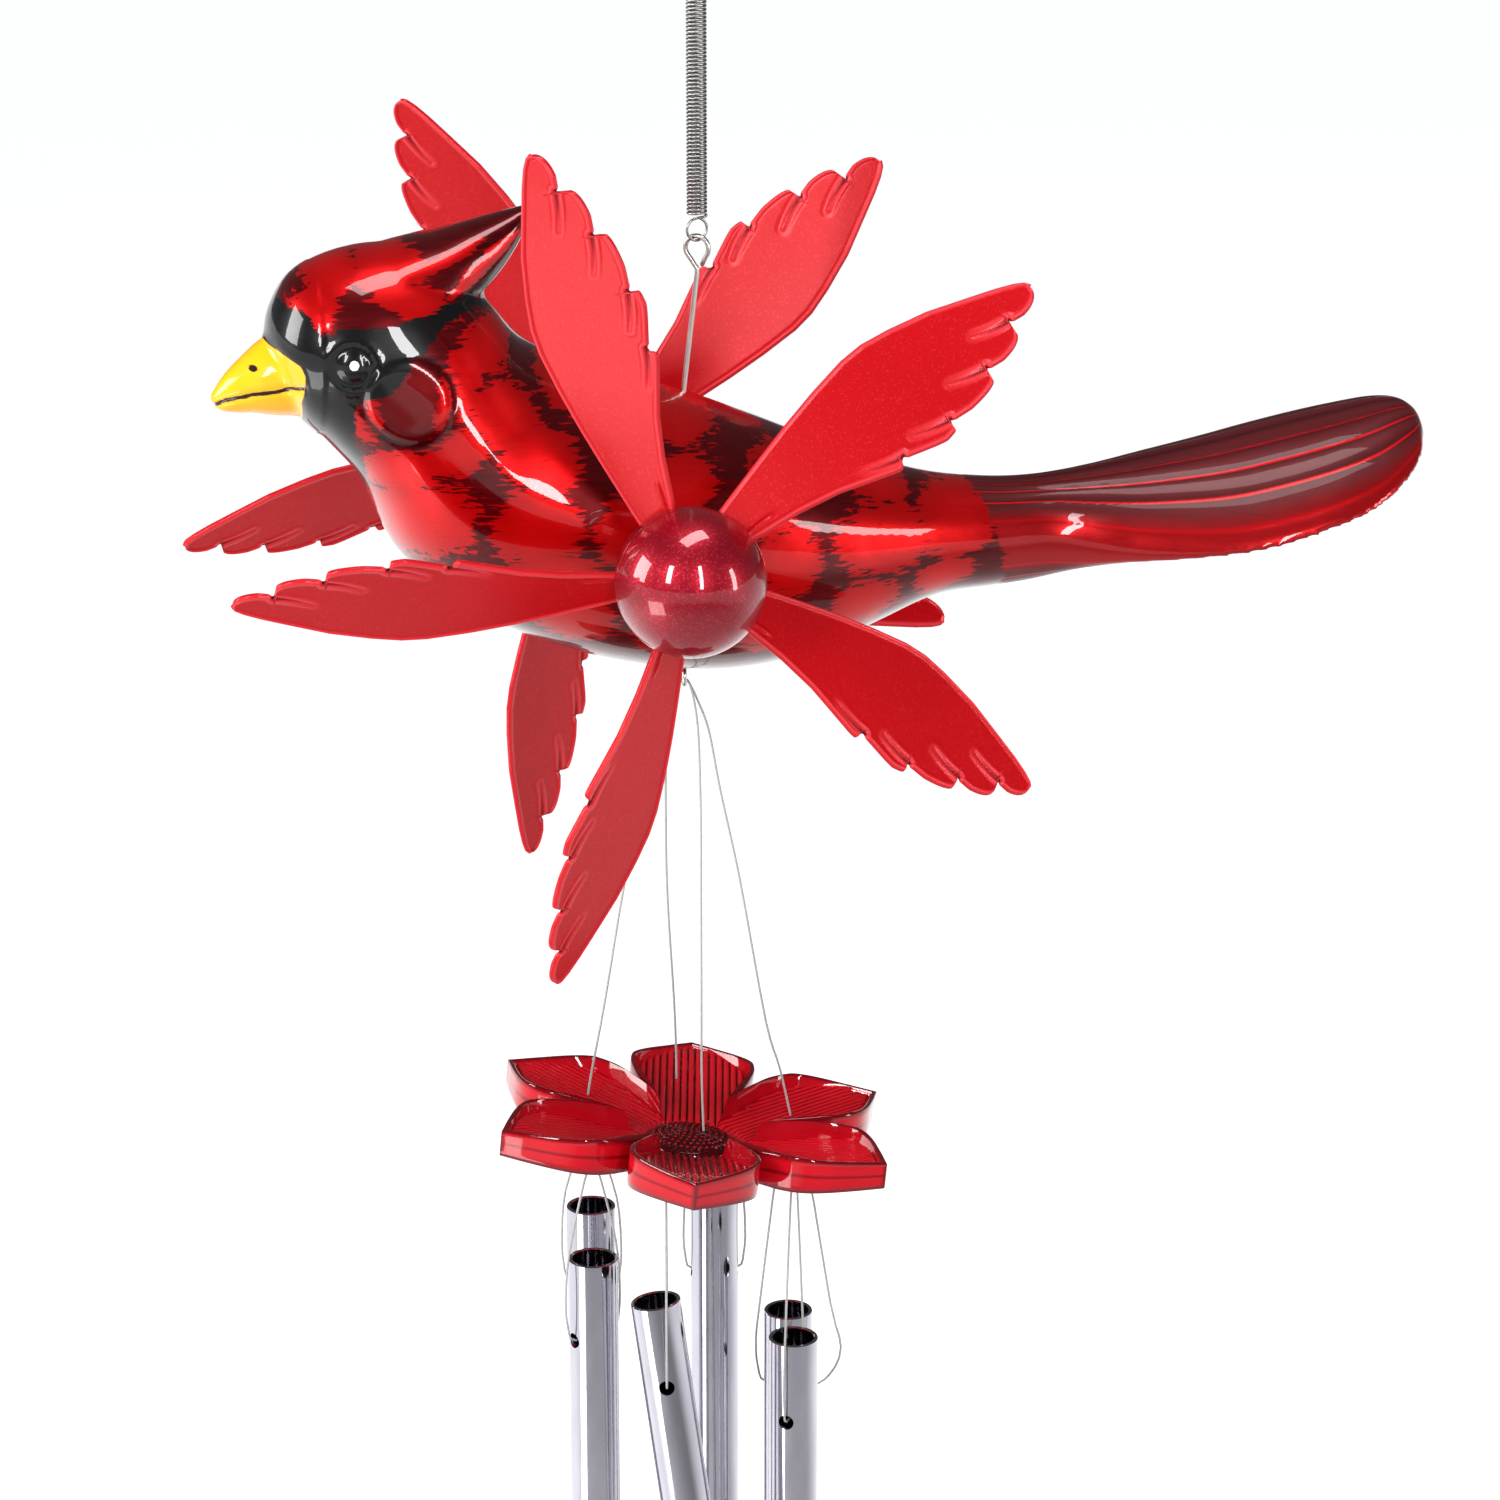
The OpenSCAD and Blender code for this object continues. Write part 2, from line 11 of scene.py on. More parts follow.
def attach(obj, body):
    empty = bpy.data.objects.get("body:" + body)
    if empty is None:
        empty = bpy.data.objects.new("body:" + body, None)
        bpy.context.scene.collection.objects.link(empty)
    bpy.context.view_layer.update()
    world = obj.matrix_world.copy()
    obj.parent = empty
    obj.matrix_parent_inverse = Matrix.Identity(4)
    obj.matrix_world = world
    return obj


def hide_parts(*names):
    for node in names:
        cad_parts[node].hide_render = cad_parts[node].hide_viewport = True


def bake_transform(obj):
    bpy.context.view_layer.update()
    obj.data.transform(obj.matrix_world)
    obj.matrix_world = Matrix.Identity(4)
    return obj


MM = 0.001
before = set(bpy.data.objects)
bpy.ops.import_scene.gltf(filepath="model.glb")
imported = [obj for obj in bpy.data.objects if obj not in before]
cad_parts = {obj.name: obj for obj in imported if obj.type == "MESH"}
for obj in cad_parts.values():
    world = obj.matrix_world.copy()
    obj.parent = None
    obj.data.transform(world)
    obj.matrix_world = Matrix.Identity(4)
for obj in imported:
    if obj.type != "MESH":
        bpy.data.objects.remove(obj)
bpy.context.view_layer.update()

# Main sizes in millimetres, in the same frame as the CAD: the hook's inside top is the origin
AXLE = np.array([-16.0, 0.0, -170.0])
WING_SPACING = 111.7
BLADE_PITCH = math.radians(39)
BLADE_THICKNESS = 1.6
HUB_R = 17.8
HUB_WALL = 2.0
HUB_OFFSET = 7.0
LEFT_WING_TURN = 36.95 + 72
RIGHT_WING_TURN = 63.6
DISC_CENTRE = np.array([-2.5, 0.0, -337.8])
DISC_TIP_RIGHT = math.radians(6.3)
DISC_TIP_FRONT = math.radians(2.1)
PETAL_TURN = -102.5
STRING_D = 0.6
TUBE_D = 12.7
TUBE_WALL = 1.0
TUBE_HOLE_DROP = 21.5
TUBE_HOLE_D = 4.0
TUBE_RING_R = 29.0
TUBE_ANGLE = [-115, -38, 16, 65, 141, 198]
TUBE_DROP = [31.5, 49, 53.5, 26.5, 23, 25.5]
TUBE_LENGTH = [220, 205, 200, 245, 235, 230]
TUBE_HOLE_TURN = [-103, -121, -25, -10, 150, -157]
TUBE_LEAN = [(-7, -3.5)] + [(0, 0)] * 5
# How far each loop string's two sides stand off its tube
LEG_BOW = [[0.8, 1.5], [1, 2.5], [7, 1.5], [1, 1], [1, 1], [1.5, 1]]

DISC_STRINGS = {
    "left": [[-3.8, -0.4, -213.6], [-4.8, -0.2, -214.4], [-7.5, 2, -224.5], [-10, 4.5, -238],
             [-13.5, 7.5, -252], [-17, 11, -270.5], [-21, 17, -303.5], [-24, 21, -325], [-25, 22.5, -334]],
    "back": [[-3.8, 0.4, -213.6], [-4.8, 0.6, -214.4], [-6, 2.5, -223], [-7, 5.5, -233.5],
             [-6, 11.5, -254], [-4, 19, -278], [-0.5, 28, -309], [1, 32.5, -325], [1.5, 34.5, -336.5]],
    "centre": [[-3.4, -0.4, -213.6], [-2.4, -0.3, -214.4], [-1, 0, -220], [0, 0, -229.5],
               [0.5, 0, -251], [0.5, 0, -272], [0.5, 0, -299], [0.5, 0, -321], [1, 0, -336.5]],
    "right": [[-3.4, 0.4, -213.6], [-2.4, 0.5, -214.4], [0, 1, -219.5], [3, 1.5, -228],
              [6, 2, -244], [11.5, 4, -269], [19, 7, -309], [23, 8, -323], [26.5, 9, -338.5]],
}


# ---------- Camera ----------

def add_camera():
    azimuth, elevation, distance = math.radians(-13.43), math.radians(18.1), 1.167
    aim = Vector((0.0066, -0.0275, -0.2240))
    out = Vector((math.sin(azimuth) * math.cos(elevation), -math.cos(azimuth) * math.cos(elevation),
                  math.sin(elevation)))
    camera = bpy.data.cameras.new("camera")
    camera.lens = 114.72
    camera.sensor_width = 36
    camera.clip_end = 60
    seat = bpy.data.objects.new("camera", camera)
    seat.location = aim + out * distance
    seat.rotation_euler = (-out).to_track_quat("-Z", "Y").to_euler()
    bpy.context.collection.objects.link(seat)
    bpy.context.scene.camera = seat


add_camera()


# ---------- Shader maths ----------

class Value:
    """A socket's value, which can be added, multiplied and so on."""

    def __init__(self, paint, socket):
        self.paint = paint
        self.socket = socket

    def __add__(self, other):
        return self.paint.math("ADD", self, other)

    def __radd__(self, other):
        return self.paint.math("ADD", other, self)

    def __sub__(self, other):
        return self.paint.math("SUBTRACT", self, other)

    def __rsub__(self, other):
        return self.paint.math("SUBTRACT", other, self)

    def __mul__(self, other):
        return self.paint.math("MULTIPLY", self, other)

    def __rmul__(self, other):
        return self.paint.math("MULTIPLY", other, self)

class Paint:
    """A material with one Principled shader, built from plain calls."""

    def __init__(self, name, **constants):
        self.material = bpy.data.materials.new(name)
        self.material.use_nodes = True
        self.tree = self.material.node_tree
        self.tree.nodes.clear()
        self.shader = self.tree.nodes.new("ShaderNodeBsdfPrincipled")
        output = self.tree.nodes.new("ShaderNodeOutputMaterial")
        self.tree.links.new(self.shader.outputs[0], output.inputs[0])
        for socket, value in constants.items():
            self.set(socket, value)

    def put(self, socket, value):
        if isinstance(value, Value):
            self.tree.links.new(value.socket, socket)
        else:
            socket.default_value = value

    def set(self, socket, value):
        self.put(self.shader.inputs[socket.replace("_", " ")], value)

    def node(self, kind, settings=None, inputs=None, out=0):
        made = self.tree.nodes.new(kind)
        for key, value in (settings or {}).items():
            setattr(made, key, value)
        for key, value in (inputs or {}).items():
            self.put(made.inputs[key], value)
        return Value(self, made.outputs[out])

    def math(self, operation, a, b=0.0):
        return self.node("ShaderNodeMath", {"operation": operation}, {0: a, 1: b})

    def mix(self, factor, a, b):
        return self.node("ShaderNodeMix", {"data_type": "RGBA"}, {0: factor, 6: colour(a), 7: colour(b)}, 2)

    def place(self, scale=(1, 1, 1), turn=(0, 0, 0)):
        """The point on the piece, in millimetres, turned and then stretched."""
        at = self.node("ShaderNodeTexCoord", out="Object")
        sizes = [1000 * s for s in scale]
        return self.node("ShaderNodeMapping", {}, {"Vector": at, "Rotation": turn, "Scale": sizes})

    def noise(self, size, detail=3.0, scale=(1, 1, 1), turn=(0, 0, 0), roughness=0.55):
        return self.node("ShaderNodeTexNoise", {}, {
            "Vector": self.place(scale, turn), "Scale": 1.0 / size, "Detail": detail, "Roughness": roughness})

    def field(self, name):
        return self.node("ShaderNodeAttribute", {"attribute_name": name}, {}, "Fac")

    def step(self, value, low, high):
        """0 below low and 1 above high, smooth between."""
        return self.node("ShaderNodeMapRange", {"interpolation_type": "SMOOTHSTEP"},
                         {"Value": value, "From Min": low, "From Max": high})

    def bump(self, height, strength, distance, under=None):
        inputs = {"Height": height, "Strength": strength, "Distance": distance * MM}
        if under is not None:
            inputs["Normal"] = under
        return self.node("ShaderNodeBump", {}, inputs)


def colour(value):
    return value if isinstance(value, Value) else (*value, 1.0)


# ---------- Mesh helpers ----------

def mesh_piece(name, points, faces, paint, smooth=True):
    """A piece made from points in millimetres."""
    mesh = bpy.data.meshes.new(name)
    mesh.from_pydata((np.asarray(points, float) * MM).tolist(), [], [list(f) for f in faces])
    mesh.polygons.foreach_set("use_smooth", [smooth] * len(mesh.polygons))
    mesh.update()
    piece = bpy.data.objects.new(name, mesh)
    bpy.context.collection.objects.link(piece)
    if paint is not None:
        mesh.materials.append(paint.material)
    return piece


def add_fields(mesh, fields):
    """Writes named numbers on the mesh's points, for the materials."""
    for name, values in fields.items():
        field = mesh.attributes.new(name, "FLOAT", "POINT")
        field.data.foreach_set("value", np.asarray(values, np.float32))


def tidy_normals(piece):
    shape = bmesh.new()
    shape.from_mesh(piece.data)
    bmesh.ops.recalc_face_normals(shape, faces=shape.faces)
    shape.to_mesh(piece.data)
    shape.free()
    return piece


def sharp_edges(piece, angle):
    """Edges that turn by more than angle degrees stay sharp."""
    shape = bmesh.new()
    shape.from_mesh(piece.data)
    for edge in shape.edges:
        if len(edge.link_faces) == 2 and edge.calc_face_angle(0) > math.radians(angle):
            edge.smooth = False
    shape.to_mesh(piece.data)
    shape.free()
    return piece


def grid_faces(rows, columns, wrap=False):
    last = columns if wrap else columns - 1
    return [(i * columns + j, i * columns + (j + 1) % columns,
             (i + 1) * columns + (j + 1) % columns, (i + 1) * columns + j)
            for i in range(rows - 1) for j in range(last)]


def smooth_route(route, steps):
    """Points on a smooth curve through the route."""
    route = np.asarray(route, float)
    points = []
    for i in range(len(route) - 1):
        a, b = route[max(i - 1, 0)], route[i]
        c, d = route[i + 1], route[min(i + 2, len(route) - 1)]
        for k in range(steps):
            t = k / steps
            bend = 2 * a - 5 * b + 4 * c - d + t * (3 * (b - c) + d - a)
            points.append(b + 0.5 * t * (c - a + t * bend))
    points.append(route[-1])
    return np.array(points)


def bar_points(path, radius, sides):
    """Rings round a path, without twist."""
    path = np.asarray(path, float)
    heading = np.gradient(path, axis=0)
    heading /= np.linalg.norm(heading, axis=1)[:, None]
    side = np.cross(heading[0], [0.3, 0.9, 0.2])
    rings = []
    for point, h in zip(path, heading):
        side = side - h * side.dot(h)
        side /= np.linalg.norm(side)
        other = np.cross(h, side)
        for k in range(sides):
            t = 2 * math.pi * k / sides
            rings.append(point + radius * (math.cos(t) * side + math.sin(t) * other))
    return np.array(rings)


def bar(name, path, diameter, paint, sides=16):
    """Round wire that follows a path, with rounded ends."""
    path = np.asarray(path, float)
    rings = bar_points(path, diameter / 2, sides)
    ends = []
    for centre, ring, away in ((path[0], rings[:sides], path[0] - path[1]),
                               (path[-1], rings[-sides:], path[-1] - path[-2])):
        away = away / np.linalg.norm(away) * diameter * 0.2
        ends.append((centre + (ring - centre) * 0.7 + away, centre + away * 1.35))
    points = np.vstack([ends[0][1][None], ends[0][0], rings, ends[1][0], ends[1][1][None]])
    rows = len(path) + 2
    faces = [tuple(1 + v for v in f) for f in grid_faces(rows, sides, True)]
    top = len(points) - 1
    faces += [(0, 1 + (j + 1) % sides, 1 + j) for j in range(sides)]
    base = 1 + (rows - 1) * sides
    faces += [(top, base + j, base + (j + 1) % sides) for j in range(sides)]
    return tidy_normals(mesh_piece(name, points, faces, paint))


def turned_shape(name, profile, centre, axis, paint, steps=96):
    """Revolves (radius, height) rows about the axis through centre."""
    axis = Vector(axis).normalized()
    side = axis.orthogonal().normalized()
    other = axis.cross(side)
    points = []
    for radius, height in profile:
        for k in range(steps):
            t = 2 * math.pi * k / steps
            at = Vector(centre) + axis * height + (side * math.cos(t) + other * math.sin(t)) * radius
            points.append(at)
    return tidy_normals(mesh_piece(name, points, grid_faces(len(profile), steps, True), paint))


def arc_points(r, a, b, steps, z=0.0):
    """Arc in the XZ plane from angle a to angle b, in degrees."""
    angles = np.radians(np.linspace(a, b, steps + 1))
    return np.stack([r * np.cos(angles), 0 * angles, z + r * np.sin(angles)], 1)


def about_z(points, degrees, x=0.0, z=0.0):
    t = math.radians(degrees)
    points = np.asarray(points, float)
    return np.stack([x + points[:, 0] * math.cos(t) - points[:, 1] * math.sin(t),
                     points[:, 0] * math.sin(t) + points[:, 1] * math.cos(t), z + points[:, 2]], 1)


# ---------- Materials ----------

def paint_nylon():
    paint = Paint("nylon_string", Roughness=0.35, IOR=1.5)
    twist = paint.noise(0.6, 2.0)
    paint.set("Base Color", paint.mix(twist, (0.3, 0.3, 0.29), (0.46, 0.46, 0.45)))
    paint.set("Normal", paint.bump(twist, 0.2, 0.05))
    return paint


def paint_steel(name, shade, gloss):
    paint = Paint(name, Metallic=1.0)
    grain = paint.noise(0.35, 4.0, (0.2, 1, 1))
    smear = paint.noise(4.0, 2.0)
    paint.set("Base Color", paint.mix(smear, [0.75 * s for s in shade], shade))
    paint.set("Roughness", gloss + 0.18 * grain)
    paint.set("Normal", paint.bump(grain, 0.12, 0.03))
    return paint


def sparkle(paint, size, share):
    """Small bright flakes, scattered."""
    flakes = paint.node("ShaderNodeTexVoronoi", {"feature": "F1"},
                        {"Vector": paint.place(), "Scale": 1.0 / size}, "Color")
    pick = paint.node("ShaderNodeSeparateColor", {}, {"Color": flakes}, "Red")
    return paint.step(pick, 1 - share, 1 - share * 0.4)


def paint_blade():
    # The faint deep red emission is a painted glow, standing in for light passing through the red plastic.
    paint = Paint("blade_red_glowing", IOR=1.22, Coat_Roughness=0.22, Coat_Weight=0.18,
                  Emission_Color=(0.6, 0.0, 0.004, 1), Emission_Strength=0.12)
    cloud = paint.noise(30.0, 2.0)
    flake = sparkle(paint, 0.35, 0.12)
    base = paint.mix(cloud, (0.36, 0.0, 0.002), (0.44, 0.0, 0.004))
    base = paint.mix(flake * 0.2, base, (0.85, 0.06, 0.07))
    # Painted highlight: the raised rim and the slit banks are painted a lighter red.
    base = paint.mix(paint.field("bead") * 0.5, base, (0.85, 0.07, 0.09))
    # Painted shade: the slit grooves are painted near black.
    paint.set("Base Color", paint.mix(paint.field("slit"), base, (0.07, 0.0, 0.001)))
    paint.set("Roughness", 0.3 + 0.1 * paint.noise(1.2, 3.0))
    paint.set("Metallic", 0.3 * flake + 0.15)
    ripple = paint.bump(paint.noise(9.0, 1.0), 0.15, 0.5)
    paint.set("Normal", paint.bump(paint.noise(0.5, 2.0), 0.1, 0.03, ripple))
    return paint


def paint_hub():
    paint = Paint("hub_metallic_red", IOR=1.3, Coat_Weight=0.9, Coat_Roughness=0.04)
    flake = sparkle(paint, 0.3, 0.2)
    cloud = paint.noise(12.0, 2.0)
    base = paint.mix(cloud, (0.21, 0.0, 0.006), (0.29, 0.0, 0.01))
    paint.set("Base Color", paint.mix(flake * 0.35, base, (0.8, 0.06, 0.12)))
    paint.set("Metallic", 0.55 + 0.3 * flake)
    paint.set("Roughness", 0.34 + 0.12 * paint.noise(0.6, 3.0))
    paint.set("Normal", paint.bump(paint.noise(0.35, 2.0), 0.18, 0.03))
    return paint


def paint_disc():
    paint = Paint("dish_clear_red", IOR=1.3, Transmission_Weight=0.25, Coat_Weight=0.7,
                  Coat_Roughness=0.02, Coat_IOR=1.4)
    cloud = paint.noise(14.0, 2.0)
    top = paint.mix(cloud, (0.6, 0.001, 0.008), (0.85, 0.01, 0.025))
    # Painted shade: near black in the grooves between the ribs and between the dome's beads, bright red on
    # their tops.
    rib = paint.step(paint.field("rib"), 0.3, 1.0)
    body = paint.mix(rib, (0.04, 0.0, 0.001), top)
    # Painted shade: the darker rings and the dark lines down the petal tips.
    paint.set("Base Color", paint.mix(paint.field("dark"), body, (0.09, 0.0, 0.003)))
    paint.set("Roughness", 0.04 + 0.06 * paint.noise(3.0, 3.0))
    paint.set("Normal", paint.bump(paint.noise(2.4, 2.0), 0.12, 0.12))
    return paint


def paint_tube():
    paint = Paint("tube_aluminium", Metallic=1.0)
    streak = paint.noise(0.5, 4.0, (1, 1, 0.02))
    smudge = paint.noise(7.0, 3.0, (1, 1, 0.3))
    paint.set("Base Color", paint.mix(smudge, (0.4, 0.385, 0.43), (0.66, 0.64, 0.7)))
    paint.set("Roughness", 0.05 + 0.06 * streak + 0.03 * smudge)
    paint.set("Normal", paint.bump(streak, 0.1, 0.03))
    return paint


def paint_plastic(name, shade, gloss):
    paint = Paint(name, IOR=1.46)
    mottle = paint.noise(2.0, 3.0)
    paint.set("Base Color", paint.mix(mottle, [0.8 * s for s in shade], shade))
    paint.set("Roughness", gloss + 0.15 * mottle)
    paint.set("Normal", paint.bump(paint.noise(0.4, 2.0), 0.15, 0.05))
    return paint


NYLON = paint_nylon()
WIRE = paint_steel("wire_steel", (0.66, 0.64, 0.6), 0.22)
SPRING = paint_steel("spring_steel", (0.4, 0.39, 0.38), 0.25)
BLADE = paint_blade()
HUB = paint_hub()
DISH = paint_disc()
ALUMINIUM = paint_tube()
BLACK_PLASTIC = paint_plastic("bush_black", (0.03, 0.03, 0.03), 0.4)
WHITE_PLASTIC = paint_plastic("spacer_white", (0.7, 0.7, 0.67), 0.45)


# ---------- Strings ----------

def disc_lift(x, y):
    """Height of the tipped dish above its centre, at x and y from it."""
    return -x * math.sin(DISC_TIP_RIGHT) - y * math.sin(DISC_TIP_FRONT)


def string_piece(name, route, steps, body, node):
    path = smooth_route(route, steps) * MM
    curve = bpy.data.curves.new(name, "CURVE")
    curve.dimensions = "3D"
    curve.bevel_depth = STRING_D * MM / 2
    curve.bevel_resolution = 2
    curve.use_fill_caps = True
    spline = curve.splines.new("POLY")
    spline.points.add(len(path) - 1)
    for point, at in zip(spline.points, path):
        point.co = (*at, 1.0)
    curve.materials.append(NYLON.material)
    piece = bpy.data.objects.new(name, curve)
    bpy.context.collection.objects.link(piece)
    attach(piece, body)
    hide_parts(node)


def tube_centre(i):
    a = math.radians(TUBE_ANGLE[i])
    return np.array([DISC_CENTRE[0] + TUBE_RING_R * math.cos(a), TUBE_RING_R * math.sin(a),
                     DISC_CENTRE[2] - TUBE_DROP[i]])


def tube_string_route(i):
    """One loop: down from the dish, through the tube's two holes, and back up."""
    a = math.radians(TUBE_ANGLE[i])
    mouth = TUBE_D / 2
    rise = TUBE_DROP[i] + TUBE_HOLE_DROP + disc_lift(TUBE_RING_R * math.cos(a), TUBE_RING_R * math.sin(a))

    def leg(side, bow):
        return [[side * 0.45, rise + 1.5], [side * 0.45, rise - 2], [side * (mouth + bow) * 0.35, rise - 8],
                [side * (mouth + bow * 0.7), TUBE_HOLE_DROP + 3], [side * (mouth + 0.8 + bow), 12],
                [side * (mouth + 0.8 + bow * 0.6), 4], [side * (mouth - 0.6), 0]]

    flat = leg(1, LEG_BOW[i][0]) + leg(-1, LEG_BOW[i][1])[::-1]
    turn = math.radians(TUBE_HOLE_TURN[i])
    hole = tube_centre(i) - [0, 0, TUBE_HOLE_DROP]
    return [[hole[0] + x * math.cos(turn), hole[1] + x * math.sin(turn), hole[2] + z] for x, z in flat]


def add_strings():
    for name, route in DISC_STRINGS.items():
        string_piece(f"dish_string_{name}", route, 4, "chime", f"disc_string_{name}")
    for i in range(6):
        string_piece(f"loop_string_{i + 1}", tube_string_route(i), 3, f"tube_{i + 1}_hang",
                     f"tube_string_{i + 1}")


add_strings()


# ---------- Hook, spring and bird's wire ----------

HOOK_WIRE = 2.0
HOOK_R = 8.0
HOOK_LOW_R = 3.6
HOOK_HIGH_Z = -7.0
HOOK_LOW_Z = -20.3
COIL_TOP, COIL_BOTTOM = -28.0, -97.0
COIL_END_GAP = 0.4
COIL_R = 2.22
COIL_TURNS = 73
SPRING_WIRE = 0.75
LOOP_R = 2.7
TOP_LOOP_Z = COIL_TOP + LOOP_R + 0.1
END_LOOP_Z = COIL_BOTTOM - LOOP_R - SPRING_WIRE / 2 - 0.1
EYE_WIRE = 1.3
EYE_R = 3.0
EYE_DROP = 5.0
EYE_Z = END_LOOP_Z - LOOP_R + (SPRING_WIRE + EYE_WIRE) / 2 + 0.1 - EYE_R
WIRE_X = -3.6
WIRE_BEND_Z = -141.0
RING_R = 2.1
RING_Z = -212.6
# Taken off each wire so that linked loops stay clear of each other as they swing
LINK_PLAY = 0.1
TOP_LOOP_PLAY = 0.2


def add_hook():
    cross = math.degrees(math.asin((HOOK_R + HOOK_LOW_R) / (HOOK_HIGH_Z - HOOK_LOW_Z)))
    path = np.vstack([arc_points(HOOK_R, 200, -cross, 48, HOOK_HIGH_Z),
                      arc_points(HOOK_LOW_R, 180 - cross, 370, 32, HOOK_LOW_Z)])
    hook = bar("hook_wire", path, HOOK_WIRE - LINK_PLAY, WIRE, 20)
    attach(hook, "hook")
    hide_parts("hanging_hook")


def add_spring():
    t = np.linspace(0, 1, COIL_TURNS * 18 + 1)
    a = 2 * math.pi * COIL_TURNS * t
    height = COIL_BOTTOM + COIL_END_GAP + (COIL_TOP - COIL_BOTTOM - 2 * COIL_END_GAP) * t
    coil = np.stack([COIL_R * np.cos(a), COIL_R * np.sin(a), height], 1)
    loop = about_z(arc_points(LOOP_R, -80, 250, 30), 90) + [0, 0, TOP_LOOP_Z + TOP_LOOP_PLAY]
    rise = smooth_route([coil[-1], [2.0, 0.9, COIL_TOP + 0.1], [0.8, 1.0, COIL_TOP + 0.35], loop[0]], 5)[1:-1]
    spring = bar("spring_coil", np.vstack([coil, rise, loop]), SPRING_WIRE - LINK_PLAY, SPRING, 8)
    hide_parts("extension_spring")
    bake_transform(spring)
    end = about_z(arc_points(LOOP_R, 100, 430, 30), 15) + [0, 0, END_LOOP_Z]
    drop = smooth_route([[COIL_R, -0.6, COIL_BOTTOM + 0.35], [1.9, -0.9, COIL_BOTTOM + 0.1],
                         [0.4, -0.5, COIL_BOTTOM - 0.25], end[0]], 5)[:-1]
    low = bar("spring_low_loop", np.vstack([drop, end]), SPRING_WIRE - LINK_PLAY, SPRING, 12)
    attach(low, "spring_end")
    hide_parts("spring_end_loop")


def add_bird_wire():
    eye = np.vstack([[[1.3, 0, -4]], arc_points(EYE_R, -40, 220, 32)])
    shank = [[0, 0, EYE_Z - EYE_DROP], [0, 0, EYE_Z - EYE_DROP - 1], [WIRE_X, 0, WIRE_BEND_Z],
             [WIRE_X, 0, RING_Z + RING_R + 1.6]]
    ring = about_z(arc_points(RING_R, 60, -240, 28), 77, WIRE_X, RING_Z)
    path = np.vstack([about_z(eye, -35, 0, EYE_Z), shank, ring])
    wire = bar("bird_wire", path, EYE_WIRE - LINK_PLAY, WIRE, 14)
    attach(wire, "bird")
    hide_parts("hanger_wire")


# ---------- Wings ----------

def wing_matrix(side, turn):
    """Frame of a wing: its Z points away from the bird."""
    at = Matrix.Translation(Vector((AXLE[0], side * WING_SPACING / 2, AXLE[2])) * MM)
    face = Matrix.Rotation(0 if side < 0 else math.pi, 4, "Z") @ Matrix.Rotation(math.pi / 2, 4, "X")
    return at @ face @ Matrix.Rotation(math.radians(turn), 4, "Z")


BLADE_ROOT, BLADE_TIP = 12, 106
RIM_HEIGHT = 0.38
SLIT_LENGTH = 9
SLIT_DEPTH = 0.46
# A blade's two edges: distance from the axle and place across the blade
SMOOTH_EDGE = [(12, -6.5), (20, -8.6), (30, -11.2), (40, -13.6), (50, -15.6), (60, -17), (66, -16.9),
               (73, -15.4), (83, -12.4), (93, -8), (99, -5.3), (103, -3.2), (105.2, -1.6), (106, -0.3)]
FEATHER_EDGE = [(12, 2.5), (20, 4.2), (30, 5.6), (40, 8), (48, 11), (53.5, 13.1),
                (55.0, 13.4), (55.7, 12.7)]
# Each feather: notch behind its tip, then the tip itself
FEATHERS = [((57.0, 11.7), (70.4, 14.4)), ((71.0, 12.3), (84.8, 11.0)),
            ((85.3, 8.5), (96.1, 6.1)), ((96.5, 3.5), (105.6, 0.5))]


def feather_edge(u):
    """Height of the feathered edge at distance u: full rounded lobes with a sharp step between them."""
    if u <= FEATHER_EDGE[-1][0]:
        return float(np.interp(u, *zip(*FEATHER_EDGE)))
    start, before = FEATHER_EDGE[-1]
    for (u0, s0), (u1, s1) in FEATHERS:
        if u < u0:
            return before + (s0 - 0.7 - before) * ((u - start) / (u0 - start)) ** 0.5
        if u <= u1:
            t = (u - u0) / (u1 - u0)
            rise, pace = (0.9, 2.5) if s1 < s0 else (s1 - s0 + 0.9, 1.3)
            full = s0 - 0.7 * math.exp(-(u - u0) / 0.35) + rise * min(t * pace, 1)
            return s1 + (full - s1) * math.sqrt(1 - t ** 3.4)
        start, before = u1, s1
    return 0.0


def blade_height(u):
    """The blade's middle line, which bends towards the tip."""
    return 1.9 - 6.1 * (max(u - 30, 0) / 76) ** 2


